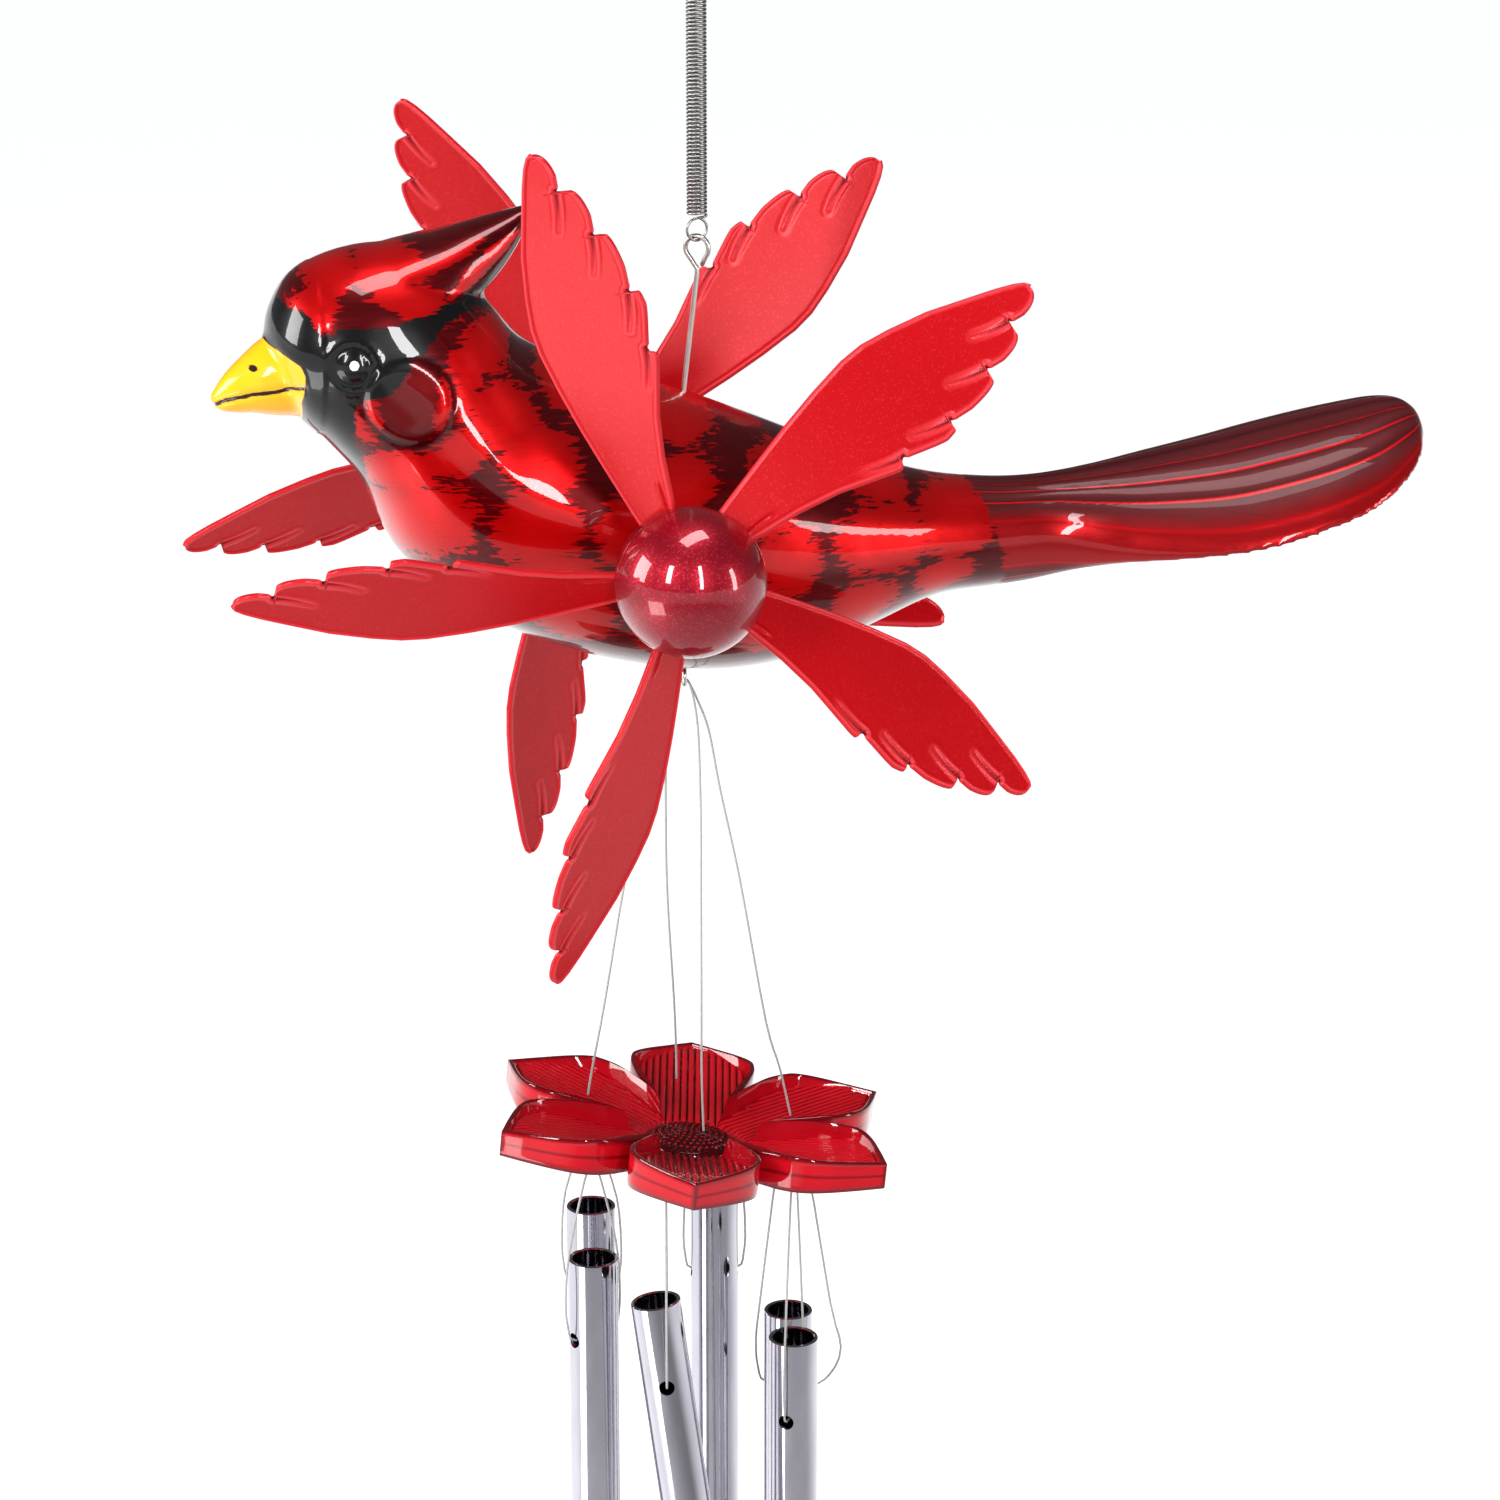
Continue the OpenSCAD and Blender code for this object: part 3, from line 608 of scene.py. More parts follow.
def blade_mesh():
    """One blade: two faces with a raised rim, and a narrow sunk cut with raised banks behind each notch."""
    plain, feathered = BLADE_ROOT + 42, BLADE_TIP - 2
    us = np.concatenate([np.linspace(BLADE_ROOT, plain, 36, endpoint=False),
                         np.linspace(plain, feathered, 180, endpoint=False),
                         np.linspace(feathered, BLADE_TIP, 12)])
    even = np.linspace(0, 1, 60)
    across = 0.25 - 0.25 * np.cos(even * math.pi) + 0.5 * even
    low = np.interp(us, *zip(*SMOOTH_EDGE))
    high = np.array([max(feather_edge(u), float(np.interp(u, *zip(*SMOOTH_EDGE))) + 0.25) for u in us])
    u = np.repeat(us[:, None], len(across), 1)
    s = low[:, None] + (high - low)[:, None] * across[None]
    edge = np.minimum(s - low[:, None], high[:, None] - s)
    edge = np.minimum(edge, (BLADE_TIP - u) * 1.2)
    groove = np.zeros_like(u)
    bank = np.zeros_like(u)
    for (gu, gs), _ in FEATHERS:
        for back in np.linspace(0, 1, 22):
            du, ds = u - (gu - SLIT_LENGTH * back), s - (gs - 0.6 - 1.4 * back - 1.6 * back * back)
            far = np.sqrt(du * du + ds * ds)
            groove = np.maximum(groove, (1 - 0.6 * back) * np.exp(-(far / (0.75 - 0.3 * back)) ** 2))
            bank = np.maximum(bank, (1 - 0.7 * back) * np.exp(-((far - 1.3) / 0.4) ** 2))
    rim = RIM_HEIGHT * np.exp(-((edge - 0.7) / 0.55) ** 2)
    root = 0.5 * np.exp(-((s - 1.5) / 0.4) ** 2) * np.clip((25 - u) / 2, 0, 1)
    half = BLADE_THICKNESS / 2 - 0.3
    round_off = 0.45 * np.exp(-edge / 0.22)
    lift = half + np.maximum(rim, 0.3 * bank) * (1 - groove) - SLIT_DEPTH * groove + root - round_off
    p, q = math.cos(BLADE_PITCH), math.sin(BLADE_PITCH)
    base = np.vectorize(blade_height)(u)
    sheets = []
    for way in (1, -1):
        n = way * lift
        sheets.append(np.stack([u, -(s * p - n * q), s * q + n * p + base], -1).reshape(-1, 3))
    rows, columns = u.shape
    count = rows * columns
    faces = grid_faces(rows, columns)
    faces += [tuple(count + v for v in f[::-1]) for f in grid_faces(rows, columns)]
    rim_loop = [i * columns for i in range(rows)]
    rim_loop += [(rows - 1) * columns + j for j in range(1, columns)]
    rim_loop += [i * columns + columns - 1 for i in range(rows - 2, -1, -1)]
    rim_loop += list(range(columns - 2, 0, -1))
    faces += [(a, b, count + b, count + a) for a, b in zip(rim_loop, rim_loop[1:] + rim_loop[:1])]
    piece = tidy_normals(mesh_piece("blade", np.vstack(sheets), faces, BLADE))
    mesh = piece.data
    # Painted shade in the slit grooves, for the material.
    slit = np.clip(groove * 1.5 - 0.45, 0, 1)
    # Painted highlight along the raised rim and the slit banks, for the material.
    bead = np.maximum(rim / RIM_HEIGHT, bank) * (1 - slit)
    add_fields(mesh, {"slit": np.tile(slit.ravel(), 2), "bead": np.tile(bead.ravel(), 2)})
    bpy.data.objects.remove(piece)
    return mesh


def add_wings():
    mesh = blade_mesh()
    for side, word, turn in ((-1, "left", LEFT_WING_TURN), (1, "right", RIGHT_WING_TURN)):
        for i in range(5):
            blade = bpy.data.objects.new(f"{word}_feather_blade_{i + 1}", mesh)
            bpy.context.collection.objects.link(blade)
            blade.matrix_world = wing_matrix(side, turn - 72 * i)
            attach(blade, f"{word}_wing")
            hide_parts(f"{word}_blade_{i + 1}")
        add_hub(side, word)


def add_hub(side, word):
    centre = Vector((AXLE[0], side * (WING_SPACING / 2 + HUB_OFFSET), AXLE[2]))
    axis = (0, side, 0)
    wall = HUB_R - HUB_WALL
    cap = [(0.05, HUB_R)]
    cap += [(HUB_R * math.sin(t), HUB_R * math.cos(t)) for t in np.linspace(0.02, math.pi / 2 - 0.02, 44)]
    cap += [(HUB_R - 0.12, 0.1), (wall, 0.05), (wall * 0.7, wall * 0.7), (0.05, wall)]
    base = [(boss, h) for boss, h in ((2.2, 3.5), (4.4, 3.5), (4.5, -14.0), (6.0, -wall * 0.92))]
    base += [(wall * math.sin(t), -wall * math.cos(t)) for t in np.linspace(0.6, math.pi / 2 - 0.01, 14)]
    base += [(wall, -0.02), (HUB_R - 0.12, -0.06)]
    base += [(HUB_R * math.sin(t), -HUB_R * math.cos(t)) for t in np.linspace(math.pi / 2 - 0.02, 0.3, 40)]
    base += [(4.6, -HUB_R + 0.75), (4.4, -HUB_R + 0.2), (2.2, -HUB_R + 0.2)]
    for name, profile, node in ((f"{word}_hub_front", cap, f"{word}_hub_cap"),
                                (f"{word}_hub_back", base, f"{word}_hub_base")):
        piece = turned_shape(name, profile, centre, axis, HUB)
        sharp_edges(piece, 40)
        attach(piece, f"{word}_wing")
        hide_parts(node)


# ---------- Flower dish ----------

# One side of a petal, x along its axis: from inside the valley, round the shoulder and past the tip
PETAL_SIDE = [(12, 9), (22.8, 13.1), (29, 15.2), (35, 16.4), (40.5, 15.6), (45.4, 12.2), (51, 6.1), (56, 0),
              (60, -4.4)]
DOME_R = 11.5
DOME_HEIGHT = 2.9
BEAD_PITCH = 1.62
BEAD_R = 0.7
BEAD_HEIGHT = 0.62
RIB_PITCH = 1.85
RIB_HEIGHT = 0.95
FLOOR_SLOPE = 0.205
# Rings of the dish's mesh, from the middle of its underside, that belong to the underside and outer wall
WALL_RINGS = 14
# Height of the rim, from a petal's tip to the valley beside it: angle in degrees and height
RIM = [(0, 8.7), (8, 9.1), (22, 9.9), (26, 9.4), (30, 7.4)]


def petal_radius(angles, inset):
    """Radius of the flower at angles from the nearest petal's axis, drawn in by inset."""
    side = smooth_route(PETAL_SIDE, 12)
    along = np.gradient(side, axis=0)
    along /= np.linalg.norm(along, axis=1)[:, None]
    side = side + np.stack([along[:, 1], -along[:, 0]], 1) * inset
    turn = np.arctan2(side[:, 1], side[:, 0])
    return np.interp(np.abs(angles), turn[::-1], np.linalg.norm(side, axis=1)[::-1])


def bead_places():
    """Middles of the round beads that cover the dome, ring after ring."""
    places = [(0.0, 0.0)]
    for ring in range(1, 7):
        r = BEAD_PITCH * ring
        count = 6 * ring
        places += [(r * math.cos(t), r * math.sin(t)) for t in np.arange(count) * 2 * math.pi / count + ring]
    return np.array(places)


def dish_floor(r):
    return np.minimum(FLOOR_SLOPE * np.maximum(r - DOME_R, 0), 8.0)


def add_dish():
    """The dish as rings of points: under its floor, up the outer wall, over the rim, and in to the dome."""
    columns = 960
    angles = np.arange(columns) * 2 * math.pi / columns
    local = (angles + math.pi / 6) % (math.pi / 3) - math.pi / 6

    def outline(inset):
        return petal_radius(local, inset)

    def under(r):
        return -2.0 + 4.0 * np.maximum(r - DOME_R, 0) / 46.5

    edge = outline(0)
    rim = np.interp(np.degrees(np.abs(local)), *zip(*RIM))
    rings = [(share * edge, under(share * edge)) for share in (0.002, 0.3, 0.6, 0.9)]
    rings += [(outline(0.2), under(edge)), (edge, under(edge) + 0.3)]
    rings += [(edge, under(edge) + (rim - under(edge)) * t) for t in (0.2, 0.42, 0.5, 0.58, 0.8)]
    rings += [(edge, rim - 0.35), (outline(0.12), rim - 0.1), (outline(0.4), rim), (outline(0.9), rim),
              (outline(1.2), rim - 0.15), (outline(1.35), rim - 0.5)]
    # Painted shade: how dark each ring looks, where the clear plastic is seen edge on
    dark = [0, 0, 0, 0.2, 0.9, 0.9, 0.2, 0.1, 0.8, 0.1, 0.1, 0.8, 0.9, 0.85, 0.85, 0.9, 0.5]
    wall = outline(1.7)
    rings.append((wall, np.minimum(dish_floor(wall) + 0.25, rim - 0.6)))
    dark.append(0.3)
    start = outline(2.0)
    # Painted shade for the material: 1 on the rib and bead tops, less in the grooves between them.
    across = np.ones(len(rings) * columns)
    for t in np.linspace(1, 0, 64):
        r = DOME_R + 0.8 + (start - DOME_R - 0.8) * t
        side = np.abs(r * np.sin(local)) / RIB_PITCH
        place = 2 * np.abs(side - np.round(side))
        inside = np.clip((start - r) / 0.6, 0, 1) * np.clip((r - DOME_R - 1.0) / 1.5, 0, 1)
        rib = np.sqrt(np.clip(1 - place ** 2, 0, 1))
        rings.append((r, np.minimum(dish_floor(r), rim - 1.4) + RIB_HEIGHT * inside * rib))
        dark.append(0.0)
        across = np.concatenate([across, 1 - inside * (1 - rib)])
    beads = bead_places()
    for r in np.linspace(DOME_R + 0.5, 0.12, 52):
        at = np.stack([r * np.cos(angles), r * np.sin(angles)], 1)
        near = np.sqrt(((at[:, None] - beads[None]) ** 2).sum(-1)).min(1)
        bump = BEAD_HEIGHT * np.sqrt(np.clip(1 - (near / BEAD_R) ** 2, 0, 1)) * (r < DOME_R - 0.6)
        dome = DOME_HEIGHT * math.sqrt(max(1 - (r / DOME_R) ** 2, 0))
        rings.append((np.full(columns, r), dome + bump))
        dark.append(0.35)
        across = np.concatenate([across, (bump / BEAD_HEIGHT) ** 3])
    turn = math.radians(PETAL_TURN)
    points = np.vstack([np.stack([r * np.cos(angles + turn), r * np.sin(angles + turn), z], 1)
                        for r, z in rings])
    tip = (Matrix.Rotation(DISC_TIP_RIGHT, 3, "Y") @ Matrix.Rotation(-DISC_TIP_FRONT, 3, "X"))
    points = points @ np.array(tip).T + DISC_CENTRE
    faces = grid_faces(len(rings), columns, True)
    last = (len(rings) - 1) * columns
    faces += [tuple(range(columns - 1, -1, -1)), tuple(range(last, last + columns))]
    dish = mesh_piece("flower_dish", points, faces, DISH)
    # Painted shade: a dark line down each petal's tip on the outer wall.
    tip_edge_shade = 0.85 * np.exp(-(np.degrees(local) / 0.8) ** 2)
    outer = np.arange(len(dark)) < WALL_RINGS
    dark = np.maximum(np.array(dark)[:, None], tip_edge_shade[None] * outer[:, None])
    add_fields(dish.data, {"rib": across, "dark": dark.ravel()})
    sharp_edges(tidy_normals(dish), 38)
    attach(dish, "chime")
    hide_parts("flower_disc")


# ---------- Tubes ----------

def add_tubes():
    for i in range(6):
        outer, inner, lip = TUBE_D / 2, TUBE_D / 2 - TUBE_WALL, 0.15
        top, low = TUBE_HOLE_DROP, TUBE_HOLE_DROP - TUBE_LENGTH[i]
        profile = [(inner, low + lip), (inner + lip, low), (outer - lip, low), (outer, low + lip)]
        profile += [(outer, z) for z in np.linspace(low + 8, top - 8, 12)]
        profile += [(outer, top - lip), (outer - lip, top), (inner + lip, top), (inner, top - lip)]
        profile += [(inner, z) for z in np.linspace(top - 8, low + 8, 6)] + [(inner, low + lip)]
        tube = turned_shape(f"chime_tube_{i + 1}", profile, (0, 0, 0), (0, 0, 1), ALUMINIUM, 72)
        shape = bmesh.new()
        shape.from_mesh(tube.data)
        bmesh.ops.remove_doubles(shape, verts=shape.verts, dist=1e-6)
        shape.to_mesh(tube.data)
        shape.free()
        turn, reach, hole = math.radians(TUBE_HOLE_TURN[i]), TUBE_D / 2 + 3.65, TUBE_HOLE_D / 2
        drill = turned_shape("drill", [(0.01, -reach), (hole, -reach), (hole, reach), (0.01, reach)],
                             (0, 0, 0), (math.cos(turn), math.sin(turn), 0), None, 32)
        cut = tube.modifiers.new("cut", "BOOLEAN")
        cut.operation = "DIFFERENCE"
        cut.object = drill
        cut.solver = "EXACT"
        bpy.context.view_layer.update()
        made = bpy.data.meshes.new_from_object(tube.evaluated_get(bpy.context.evaluated_depsgraph_get()))
        tube.modifiers.clear()
        tube.data = made
        bpy.data.objects.remove(drill)
        sharp_edges(tube, 40)
        lean = Matrix.Rotation(math.radians(TUBE_LEAN[i][0]), 4, "Y") @ Matrix.Rotation(
            math.radians(TUBE_LEAN[i][1]), 4, "X")
        tube.matrix_world = Matrix.Translation(Vector(tube_centre(i) - [0, 0, TUBE_HOLE_DROP]) * MM) @ lean
        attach(tube, f"tube_{i + 1}_hang")
        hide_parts(f"tube_{i + 1}")


add_hook()
add_spring()
add_bird_wire()
add_wings()
add_dish()
add_tubes()


# ---------- Bird ----------

# Sections from the face to the tail, measured from the axle.
# Each row: top x, top z, bottom x, bottom z, half width, droop of the sides
BODY = [
    [-89.5, 47.5, -83.5, 30.5, 8, 0], [-88, 55.5, -80, 27.5, 15.5, 0], [-82, 64.5, -74.5, 22, 20.5, 0],
    [-70, 69.5, -68.5, 15, 24, 0], [-56, 70, -64.5, 6.5, 26, 0], [-44, 64.5, -60.5, -2.5, 28, 0],
    [-35.5, 55.5, -54.5, -10, 30, 0], [-27, 45.5, -44, -19.5, 32, 0], [-15, 39.5, -29, -27.5, 34, 0],
    [0, 34.5, -9, -35, 35, 0], [15, 29, 13, -39.5, 34, 0], [30, 23, 30, -39.5, 31, 0],
    [45, 16.5, 45, -36.5, 27, 0], [60, 10.5, 60, -30.5, 22.5, 0], [75, 5.8, 75, -25, 18, 0],
    [90, 3.6, 90, -23.8, 15, 0], [103, 3.4, 103, -22.4, 13.5, 1], [117, 5, 116, -18, 17, 6],
    [131, 7.4, 130, -10.5, 23.5, 11.5], [147, 10.2, 146, -2, 29.5, 16], [160, 12.8, 159.5, 2.8, 32, 17],
    [173, 15.2, 173, 6.8, 32, 16.5], [184, 17, 184, 9.4, 29, 15], [192, 18, 192, 11.2, 24, 12],
    [198, 17.6, 198, 12, 17.5, 8], [202, 15, 202, 12.6, 8, 3],
]
CREST = [
    [-72, 67, -66, 42, 17, 0], [-60, 70.5, -54, 46, 17.5, 0], [-48, 73, -43, 53, 14.5, 0],
    [-38, 75.2, -35.5, 59, 10, 0], [-30, 77, -29.5, 66.5, 6, 0], [-24, 78.4, -24.5, 75.5, 2, 0],
]
BEAK = [
    [-103.5, 35.2, -103.2, 33.4, 0.8, 0], [-102, 37.3, -101.5, 31.8, 2.8, 0], [-99.4, 40.8, -98, 30.8, 5, 0],
    [-95.4, 44.6, -93, 30.6, 7.5, 0], [-90, 48.8, -86.5, 29.6, 10, 0], [-84, 49, -79, 29.5, 11.5, 0],
]
# Flutes on each half of the tail
TAIL_FLUTES = 5.0
EYE_AT = np.array([-71.9, 22.8, 46.0])
CHEEK_AT = np.array([-59.3, 26.0, 37.6])

# Painted regions, seen from the side: x along the bird and z up, from the axle
BEAK_EDGE = [(-120, 15), (-120, 52), (-92, 50.6), (-89, 48.2), (-86.5, 47.2), (-83.3, 45.3), (-82.4, 43),
             (-82.4, 39.4), (-82.9, 35.7), (-82.2, 32), (-81.5, 27), (-84, 15)]
MASK_EDGE = [(-100, 60.5), (-88.5, 60.5), (-85.9, 58.9), (-84.6, 58.4), (-82.3, 57.9), (-80.6, 56.5),
             (-79.1, 53.9), (-76.3, 52.7), (-74, 54.6), (-71.3, 55.4), (-67.6, 54.6), (-64.3, 54.5),
             (-59.7, 55.8), (-55.1, 56.5), (-50.2, 58.1), (-45.6, 59.3), (-41, 60.6), (-36.5, 63.3),
             (-32.7, 66.7), (-27, 72.5), (-18, 74), (-18, 58), (-33, 55), (-37.4, 56), (-41, 56.5),
             (-44.9, 56.3), (-50.8, 53.7), (-52.2, 52.3), (-54.8, 48.8), (-57.6, 48.2), (-58.9, 45.3),
             (-61.3, 41.5), (-63, 39.9), (-66.7, 39), (-70.5, 37.5), (-71.5, 34.4), (-71.3, 30.6),
             (-71.1, 27.1), (-69.8, 23.8), (-68.3, 19.5), (-67.4, 15.4), (-66, 5), (-90, 5)]
MOUTH = [(-104, 32.3), (-102.3, 33.3), (-99.8, 34.9), (-93.4, 36.8), (-88.1, 37.6), (-82.3, 39.6)]
TAIL_EDGE = [(84, 20), (84, 4), (86.5, -1.4), (88.3, -8.3), (90, -14), (94, -30), (230, -30), (230, 40),
             (84, 40)]

# Bright feathers on the dark ground. Each row: x, z, half length, half height, tilt
BRIGHT = [
    (-80.5, 57.5, 8, 4.2, -45), (-74.6, 66.5, 6.5, 4.6, -20), (-61.8, 66.5, 7.6, 6.5, 0),
    (-57, 60, 11, 3.8, 20), (-46.8, 41.4, 4.5, 12, 25), (-68.8, 32.7, 3.2, 5.4, 0),
    (-48.8, 25.5, 7.2, 5.4, -20), (-61, 19.7, 8, 5.2, 0), (-56, 7.6, 11.7, 9.6, 0), (-37, 33, 8, 7, 30),
    (-30.1, 6.5, 10.1, 9.3, 0), (-29, 23, 9, 7.5, 20), (6.2, 15.1, 8, 6, 0), (7.7, 29, 9, 6, 20),
    (32, -6.1, 8, 8.5, 0), (33, 14, 9, 5, 20), (-24.8, -4, 9, 3.8, 0), (56.9, -4.2, 11.5, 8, 0),
    (77.7, -2.5, 10.5, 8.5, 0), (-8, 4, 8, 8, 0), (14, -2, 8, 8, 0), (-42, -12, 9, 6, 25),
    (-20, -18, 9, 6, 15), (4, -22, 9, 6, 0), (28, -24, 9, 6, 0), (52, -20, 9, 6, -10),
    (-46, 68.5, 8, 1.3, -20), (-37, 67, 7, 1.1, -25), (-42, 62.8, 7, 1.2, -30), (-33, 70.5, 6, 1.0, -22),
    (-38, 49, 5, 6, 20), (-20, 38, 7, 5, 35), (58, 8, 8, 4, 20), (74, -16, 8, 4, -10),
]


def loft(rows, steps, around):
    rows = smooth_route(rows, steps)
    t = np.linspace(0, 2 * math.pi, around, endpoint=False)
    points = []
    for x0, z0, x1, z1, half, droop in rows:
        points.append(np.stack([(x0 + x1) / 2 + (x0 - x1) / 2 * np.cos(t), max(half, 0.3) * np.sin(t),
                                (z0 + z1) / 2 + (z0 - z1) / 2 * np.cos(t) - droop * np.sin(t) ** 2], 1))
    faces = grid_faces(len(rows), around, True)
    end = (len(rows) - 1) * around
    faces += [tuple(range(around - 1, -1, -1)), tuple(range(end, end + around))]
    return np.vstack(points), faces


def region(points, outline):
    """Distance in millimetres inside an outline drawn on x and z; negative outside."""
    p = points[:, [0, 2]]
    best = np.full(len(p), 1e9)
    inside = np.zeros(len(p), bool)
    outline = np.asarray(outline, float)
    for a, b in zip(outline, np.roll(outline, -1, 0)):
        d = b - a
        t = np.clip(((p - a) @ d) / (d @ d), 0, 1)
        best = np.minimum(best, np.linalg.norm(p - a - t[:, None] * d, axis=1))
        crosses = (a[1] > p[:, 1]) != (b[1] > p[:, 1])
        at = a[0] + (p[:, 1] - a[1]) * d[0] / (d[1] if d[1] else 1e-9)
        inside ^= crosses & (p[:, 0] < at)
    return np.where(inside, best, -best)


def line_distance(points, line):
    p = points[:, [0, 2]]
    best = np.full(len(p), 1e9)
    line = np.asarray(line, float)
    for a, b in zip(line[:-1], line[1:]):
        d = b - a
        t = np.clip(((p - a) @ d) / (d @ d), 0, 1)
        best = np.minimum(best, np.linalg.norm(p - a - t[:, None] * d, axis=1))
    return best


def bright_field(points):
    """1 at a feather's middle, 0 at its edge and negative outside."""
    best = np.full(len(points), -1.0)
    for x, z, long, high, tilt in BRIGHT:
        c, s = math.cos(math.radians(tilt)), math.sin(math.radians(tilt))
        dx, dz = points[:, 0] - x, points[:, 2] - z
        u, v = (dx * c - dz * s) / long, (dx * s + dz * c) / high
        best = np.maximum(best, 1 - np.sqrt(u * u + v * v))
    return best


def tail_half_width(x):
    rows = smooth_route(BODY, 6)
    return np.interp(x, (rows[:, 0] + rows[:, 2]) / 2, rows[:, 4])


def side_distance(points, at):
    """Distance from a point given for both sides of the bird."""
    folded = points.copy()
    folded[:, 1] = np.abs(folded[:, 1])
    return np.linalg.norm(folded - at, axis=1)


def sculpt(points, normals):
    """Raised and sunk details, as a distance along the surface's normal."""
    eye = side_distance(points, EYE_AT)
    cheek = side_distance(points, CHEEK_AT)
    move = 0.5 * np.exp(-(eye / 3.0) ** 4) - 0.3 * np.exp(-((eye - 4.4) / 0.9) ** 2)
    move += 0.2 * np.exp(-((eye - 6.2) / 0.9) ** 2)
    move += 0.7 / (1 + np.exp((cheek - 9.6) / 0.4)) * np.clip(cheek / 9.6, 0.6, 1)
    move -= 0.12 * np.exp(-((cheek - 10.8) / 0.9) ** 2)
    beak = region(points, BEAK_EDGE)
    move += np.where(points[:, 0] < -78, -0.45 / (1 + np.exp(-np.clip(beak, -9, 9) / 0.35)) + 0.2, 0)
    mouth = line_distance(points, MOUTH)
    move -= np.where(beak > -0.6, 0.7 * np.exp(-(mouth / 0.7) ** 2), 0)
    fan = points[:, 1] / np.maximum(tail_half_width(points[:, 0]), 2)
    ridge = np.abs(np.sin(math.pi * (fan * TAIL_FLUTES + 0.5)))
    along = np.clip((points[:, 0] - 88) / 14, 0, 1) * np.clip((200 - points[:, 0]) / 8, 0, 1)
    on_top = np.clip(normals[:, 2] * 2, 0, 1) * along
    move += on_top * 0.3 * (ridge ** 0.7 - 0.8)
    return move


def bird_mesh():
    """The three lofts joined, rounded together and sculpted."""
    points, faces = [], []
    for rows, steps in ((BODY, 5), (CREST, 5), (BEAK, 5)):
        p, f = loft(rows, steps, 72)
        faces += [tuple(v + sum(len(q) for q in points) for v in face) for face in f]
        points.append(p)
    rough = tidy_normals(mesh_piece("bird_rough", np.vstack(points), faces, None))
    remesh = rough.modifiers.new("join", "REMESH")
    remesh.mode = "VOXEL"
    remesh.voxel_size = 0.85 * MM
    soften = rough.modifiers.new("soften", "SMOOTH")
    soften.factor = 0.5
    soften.iterations = 9
    bpy.context.view_layer.update()
    mesh = bpy.data.meshes.new_from_object(rough.evaluated_get(bpy.context.evaluated_depsgraph_get()))
    bpy.data.objects.remove(rough)
    count = len(mesh.vertices)
    co = np.empty(count * 3)
    no = np.empty(count * 3)
    mesh.vertices.foreach_get("co", co)
    mesh.vertices.foreach_get("normal", no)
    co, no = co.reshape(-1, 3) / MM, no.reshape(-1, 3)
    co += no * sculpt(co, no)[:, None]
    mesh.vertices.foreach_set("co", ((co + AXLE) * MM).ravel())
    add_fields(mesh, {
        "beak": region(co, BEAK_EDGE),
        "mask": region(co, MASK_EDGE),
        "mouth": line_distance(co, MOUTH),
        "bright": bright_field(co),
        "tail": region(co, TAIL_EDGE),
        "fan": co[:, 1] / np.maximum(tail_half_width(co[:, 0]), 2),
        "shoulder": np.abs(co[:, 1]) / np.maximum(tail_half_width(co[:, 0]), 2),
        "eye": side_distance(co, EYE_AT),
        "cheek": side_distance(co, CHEEK_AT),
        "nostril": side_distance(co * [1, 0, 1.4], np.array([-93.2, 0, 43.0 * 1.4])),
        "glint": side_distance(co, EYE_AT + [0.3, 0.6, 0.4]),
    })
    mesh.polygons.foreach_set("use_smooth", [True] * len(mesh.polygons))
    return mesh


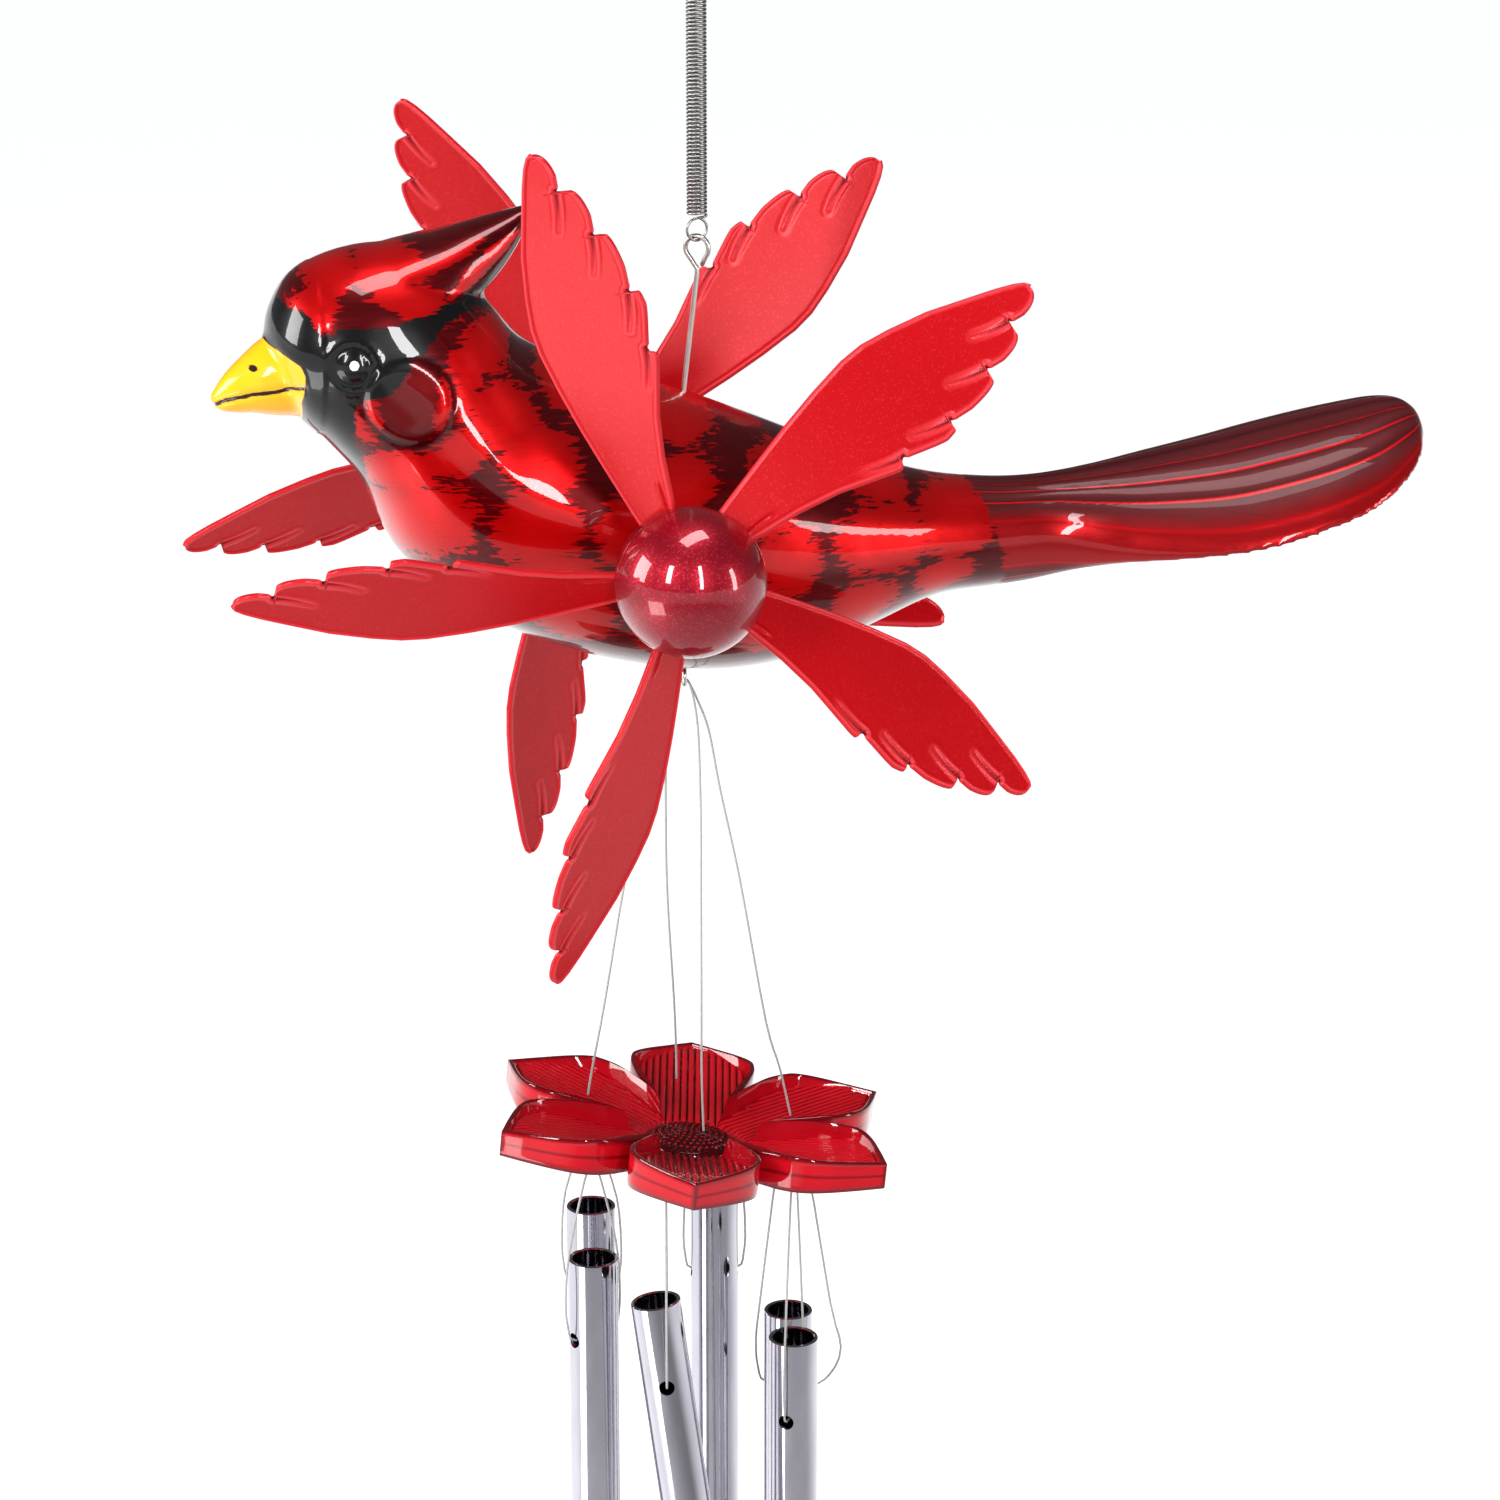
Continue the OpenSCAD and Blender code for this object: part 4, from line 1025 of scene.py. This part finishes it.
def paint_bird():
    paint = Paint("bird_paint", IOR=1.22, Coat_Roughness=0.02, Coat_IOR=1.37)
    brush = paint.noise(1.0, 3.0, (0.13, 0.5, 1), (0, math.radians(28), 0), 0.6) - 0.5
    fine = paint.noise(0.55, 2.0, (0.1, 0.4, 1), (0, math.radians(38), 0), 0.6) - 0.5
    cloud = paint.noise(9.0, 2.0) - 0.5
    bright = paint.step(paint.field("bright") + brush * 1.5 + fine * 0.7 + cloud * 0.3, -0.16, -0.02)
    glow = paint.step(paint.field("bright") + brush * 0.3, 0.0, 0.8)
    dark = paint.mix(brush + 0.5, (0.035, 0.0, 0.001), (0.14, 0.001, 0.003))
    red = paint.mix(glow, (0.47, 0.001, 0.002), (0.56, 0.002, 0.003))
    body = paint.mix(bright, dark, red)
    cheek = paint.step(paint.field("cheek") + brush * 5.0, 5.0, 8.5)
    body = paint.mix((1.0 - cheek) * 0.85, body, (0.16, 0.002, 0.003))
    crescent = paint.step(paint.field("cheek") + brush * 3.0, 9.6, 10.4) - paint.step(
        paint.field("cheek") + brush * 7.0, 11.0, 13.5)
    body = paint.mix(crescent * 0.9, body, (0.02, 0.0, 0.001))
    tail = paint.step(paint.field("tail") + brush * 6.0, -0.4, 0.5)
    flute = paint.math("ABSOLUTE", paint.math("SINE", (paint.field("fan") * TAIL_FLUTES + 0.5) * math.pi))
    thin = (1.0 - paint.step(flute, 0.05, 0.3)) * paint.step(paint.field("shoulder") + fine * 0.3, 0.1, 0.5)
    crown = paint.mix(flute, (0.05, 0.004, 0.006), (0.1, 0.011, 0.013))
    feather = paint.mix(thin, crown, (0.5, 0.002, 0.005))
    # Painted highlight: a lighter red line along the tail's outer rim.
    rim = paint.step(paint.field("shoulder") + fine * 0.1, 0.78, 0.95)
    feather = paint.mix(rim * 0.8, feather, (0.4, 0.002, 0.004))
    body = paint.mix(tail, body, feather)
    mask = paint.step(paint.field("mask") + brush * 4.0 + fine * 2.0, -0.2, 0.2)
    body = paint.mix(mask, body, (0.003, 0.003, 0.0035))
    beak = paint.step(paint.field("beak"), -0.15, 0.15)
    shade = paint.noise(5.0, 2.0)
    orange = paint.mix(shade, (0.9, 0.36, 0.003), (0.96, 0.5, 0.012))
    body = paint.mix(beak, body, orange)
    line = (1.0 - paint.step(paint.field("mouth") + fine * 0.5, 0.35, 0.6)) * beak
    body = paint.mix(line, body, (0.01, 0.004, 0.002))
    hole = (1.0 - paint.step(paint.field("nostril"), 0.9, 1.25)) * beak
    body = paint.mix(hole, body, (0.01, 0.004, 0.002))
    glint = 1.0 - paint.step(paint.field("glint"), 1.1, 1.3)
    body = paint.mix(glint, body, (0.9, 0.9, 0.88))
    paint.set("Base Color", body)
    flat = paint.math("MAXIMUM", paint.math("MAXIMUM", mask, beak), glint)
    satin = tail * (1.0 - rim)
    paint.set("Metallic", 0.55 * (1.0 - flat) * (1.0 - satin * 0.6))
    paint.set("Roughness", 0.3 + 0.14 * brush + 0.12 * satin)
    paint.set("Coat Weight", 1.0 - satin * 0.7)
    ripple = paint.bump(paint.noise(11.0, 1.0), 0.25, 1.0)
    paint.set("Normal", paint.bump(brush, 0.03, 0.1, ripple))
    return paint


def add_bird():
    whole = bird_mesh()
    paint = paint_bird()
    for side, word in ((-1, "left"), (1, "right")):
        shape = bmesh.new()
        shape.from_mesh(whole)
        geometry = list(shape.verts) + list(shape.edges) + list(shape.faces)
        cut = bmesh.ops.bisect_plane(shape, geom=geometry, plane_co=(0, 0, 0), plane_no=(0, side, 0),
                                     dist=1e-6, clear_inner=True)
        edges = [e for e in cut["geom_cut"] if isinstance(e, bmesh.types.BMEdge)]
        filled = bmesh.ops.holes_fill(shape, edges=edges, sides=0)
        for face in filled["faces"]:
            face.smooth = False
        for edge in edges:
            edge.smooth = False
        half = bpy.data.meshes.new(f"bird_{word}_half")
        shape.to_mesh(half)
        shape.free()
        half.materials.append(paint.material)
        piece = bpy.data.objects.new(f"bird_{word}_half", half)
        bpy.context.collection.objects.link(piece)
        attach(piece, "bird")
        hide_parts(f"body_{word}_shell")


def finish_hardware():
    """The bird's rod, bushes, spacers and nuts keep their CAD shape and get their own materials."""
    steel = paint_steel("rod_steel", (0.6, 0.6, 0.6), 0.25)
    for node, paint in (("wing_axle", steel), ("left_push_nut", steel), ("right_push_nut", steel),
                        ("left_axle_bush", BLACK_PLASTIC), ("right_axle_bush", BLACK_PLASTIC),
                        ("left_spacer", WHITE_PLASTIC), ("right_spacer", WHITE_PLASTIC)):
        piece = bpy.data.objects.get(node)
        piece.data.materials.clear()
        piece.data.materials.append(paint.material)


# ---------- Studio ----------

FLOOR_Z = -1300
FLOOR_REACH = 300000
# Middle and edges of the painted pool of shade on the floor
SHADE_POOL_Y = -1900
SHADE_POOL_EDGE = (1500, 3500)
LAMP_AIM = (0, 0, -0.25)
# Name, place and size in metres, and power in watts
LAMPS = [
    ("key", (-1.5, -1.4, 0.75), (0.3, 1.0), 27), ("strip", (0.1, -1.7, 0.5), (0.16, 1.1), 17),
    ("low_card", (-1.6, -0.7, -1.1), (0.8, 0.8), 12), ("window", (-1.9, 0.25, 0.4), (0.85, 0.9), 32),
    ("fill", (1.9, -1.3, 0.2), (0.3, 1.1), 15), ("top", (0.1, -0.2, 1.9), (1.3, 0.6), 26),
]


def add_lamp(name, at, size, power):
    lamp = bpy.data.lights.new(name, "AREA")
    lamp.shape = "RECTANGLE"
    lamp.size, lamp.size_y = size
    lamp.energy = power
    seat = bpy.data.objects.new(name, lamp)
    seat.location = at
    seat.rotation_euler = (Vector(LAMP_AIM) - Vector(at)).to_track_quat("-Z", "Y").to_euler()
    bpy.context.collection.objects.link(seat)


def add_studio():
    """A pale glowing floor, with a painted soft pool of shade in front of the chime, and the lamps."""
    corners = [(-FLOOR_REACH, -FLOOR_REACH), (FLOOR_REACH, -FLOOR_REACH), (FLOOR_REACH, FLOOR_REACH),
               (-FLOOR_REACH, FLOOR_REACH)]
    floor = mesh_piece("floor", [(x, y, FLOOR_Z) for x, y in corners], [(0, 1, 2, 3)], None, False)
    white = Paint("floor_white", Roughness=0.9, Emission_Strength=0.93)
    away = white.node("ShaderNodeVectorMath", {"operation": "DISTANCE"},
                      {0: white.place(), 1: (0, SHADE_POOL_Y, FLOOR_Z)}, "Value")
    # Painted shade: the floor's glow and colour are darker in a soft pool in front of the chime, so the bird
    # and tubes reflect less of it.
    unshaded_floor = white.step(away, *SHADE_POOL_EDGE)
    white.set("Emission Color", white.mix(unshaded_floor, (0.16, 0.16, 0.165), (0.96, 0.98, 1.0)))
    grain = white.mix(white.noise(400.0, 2.0), (0.88, 0.88, 0.88), (0.92, 0.92, 0.92))
    white.set("Base Color", white.mix(unshaded_floor, (0.5, 0.5, 0.51), grain))
    floor.data.materials.append(white.material)
    world = bpy.data.worlds.new("studio")
    world.use_nodes = True
    sky = world.node_tree.nodes["Background"].inputs
    sky["Color"].default_value = (0.95, 0.97, 1.0, 1)
    sky["Strength"].default_value = 0.08
    bpy.context.scene.world = world
    bpy.context.scene.view_settings.view_transform = "Standard"
    for lamp in LAMPS:
        add_lamp(*lamp)


add_bird()
finish_hardware()
add_studio()
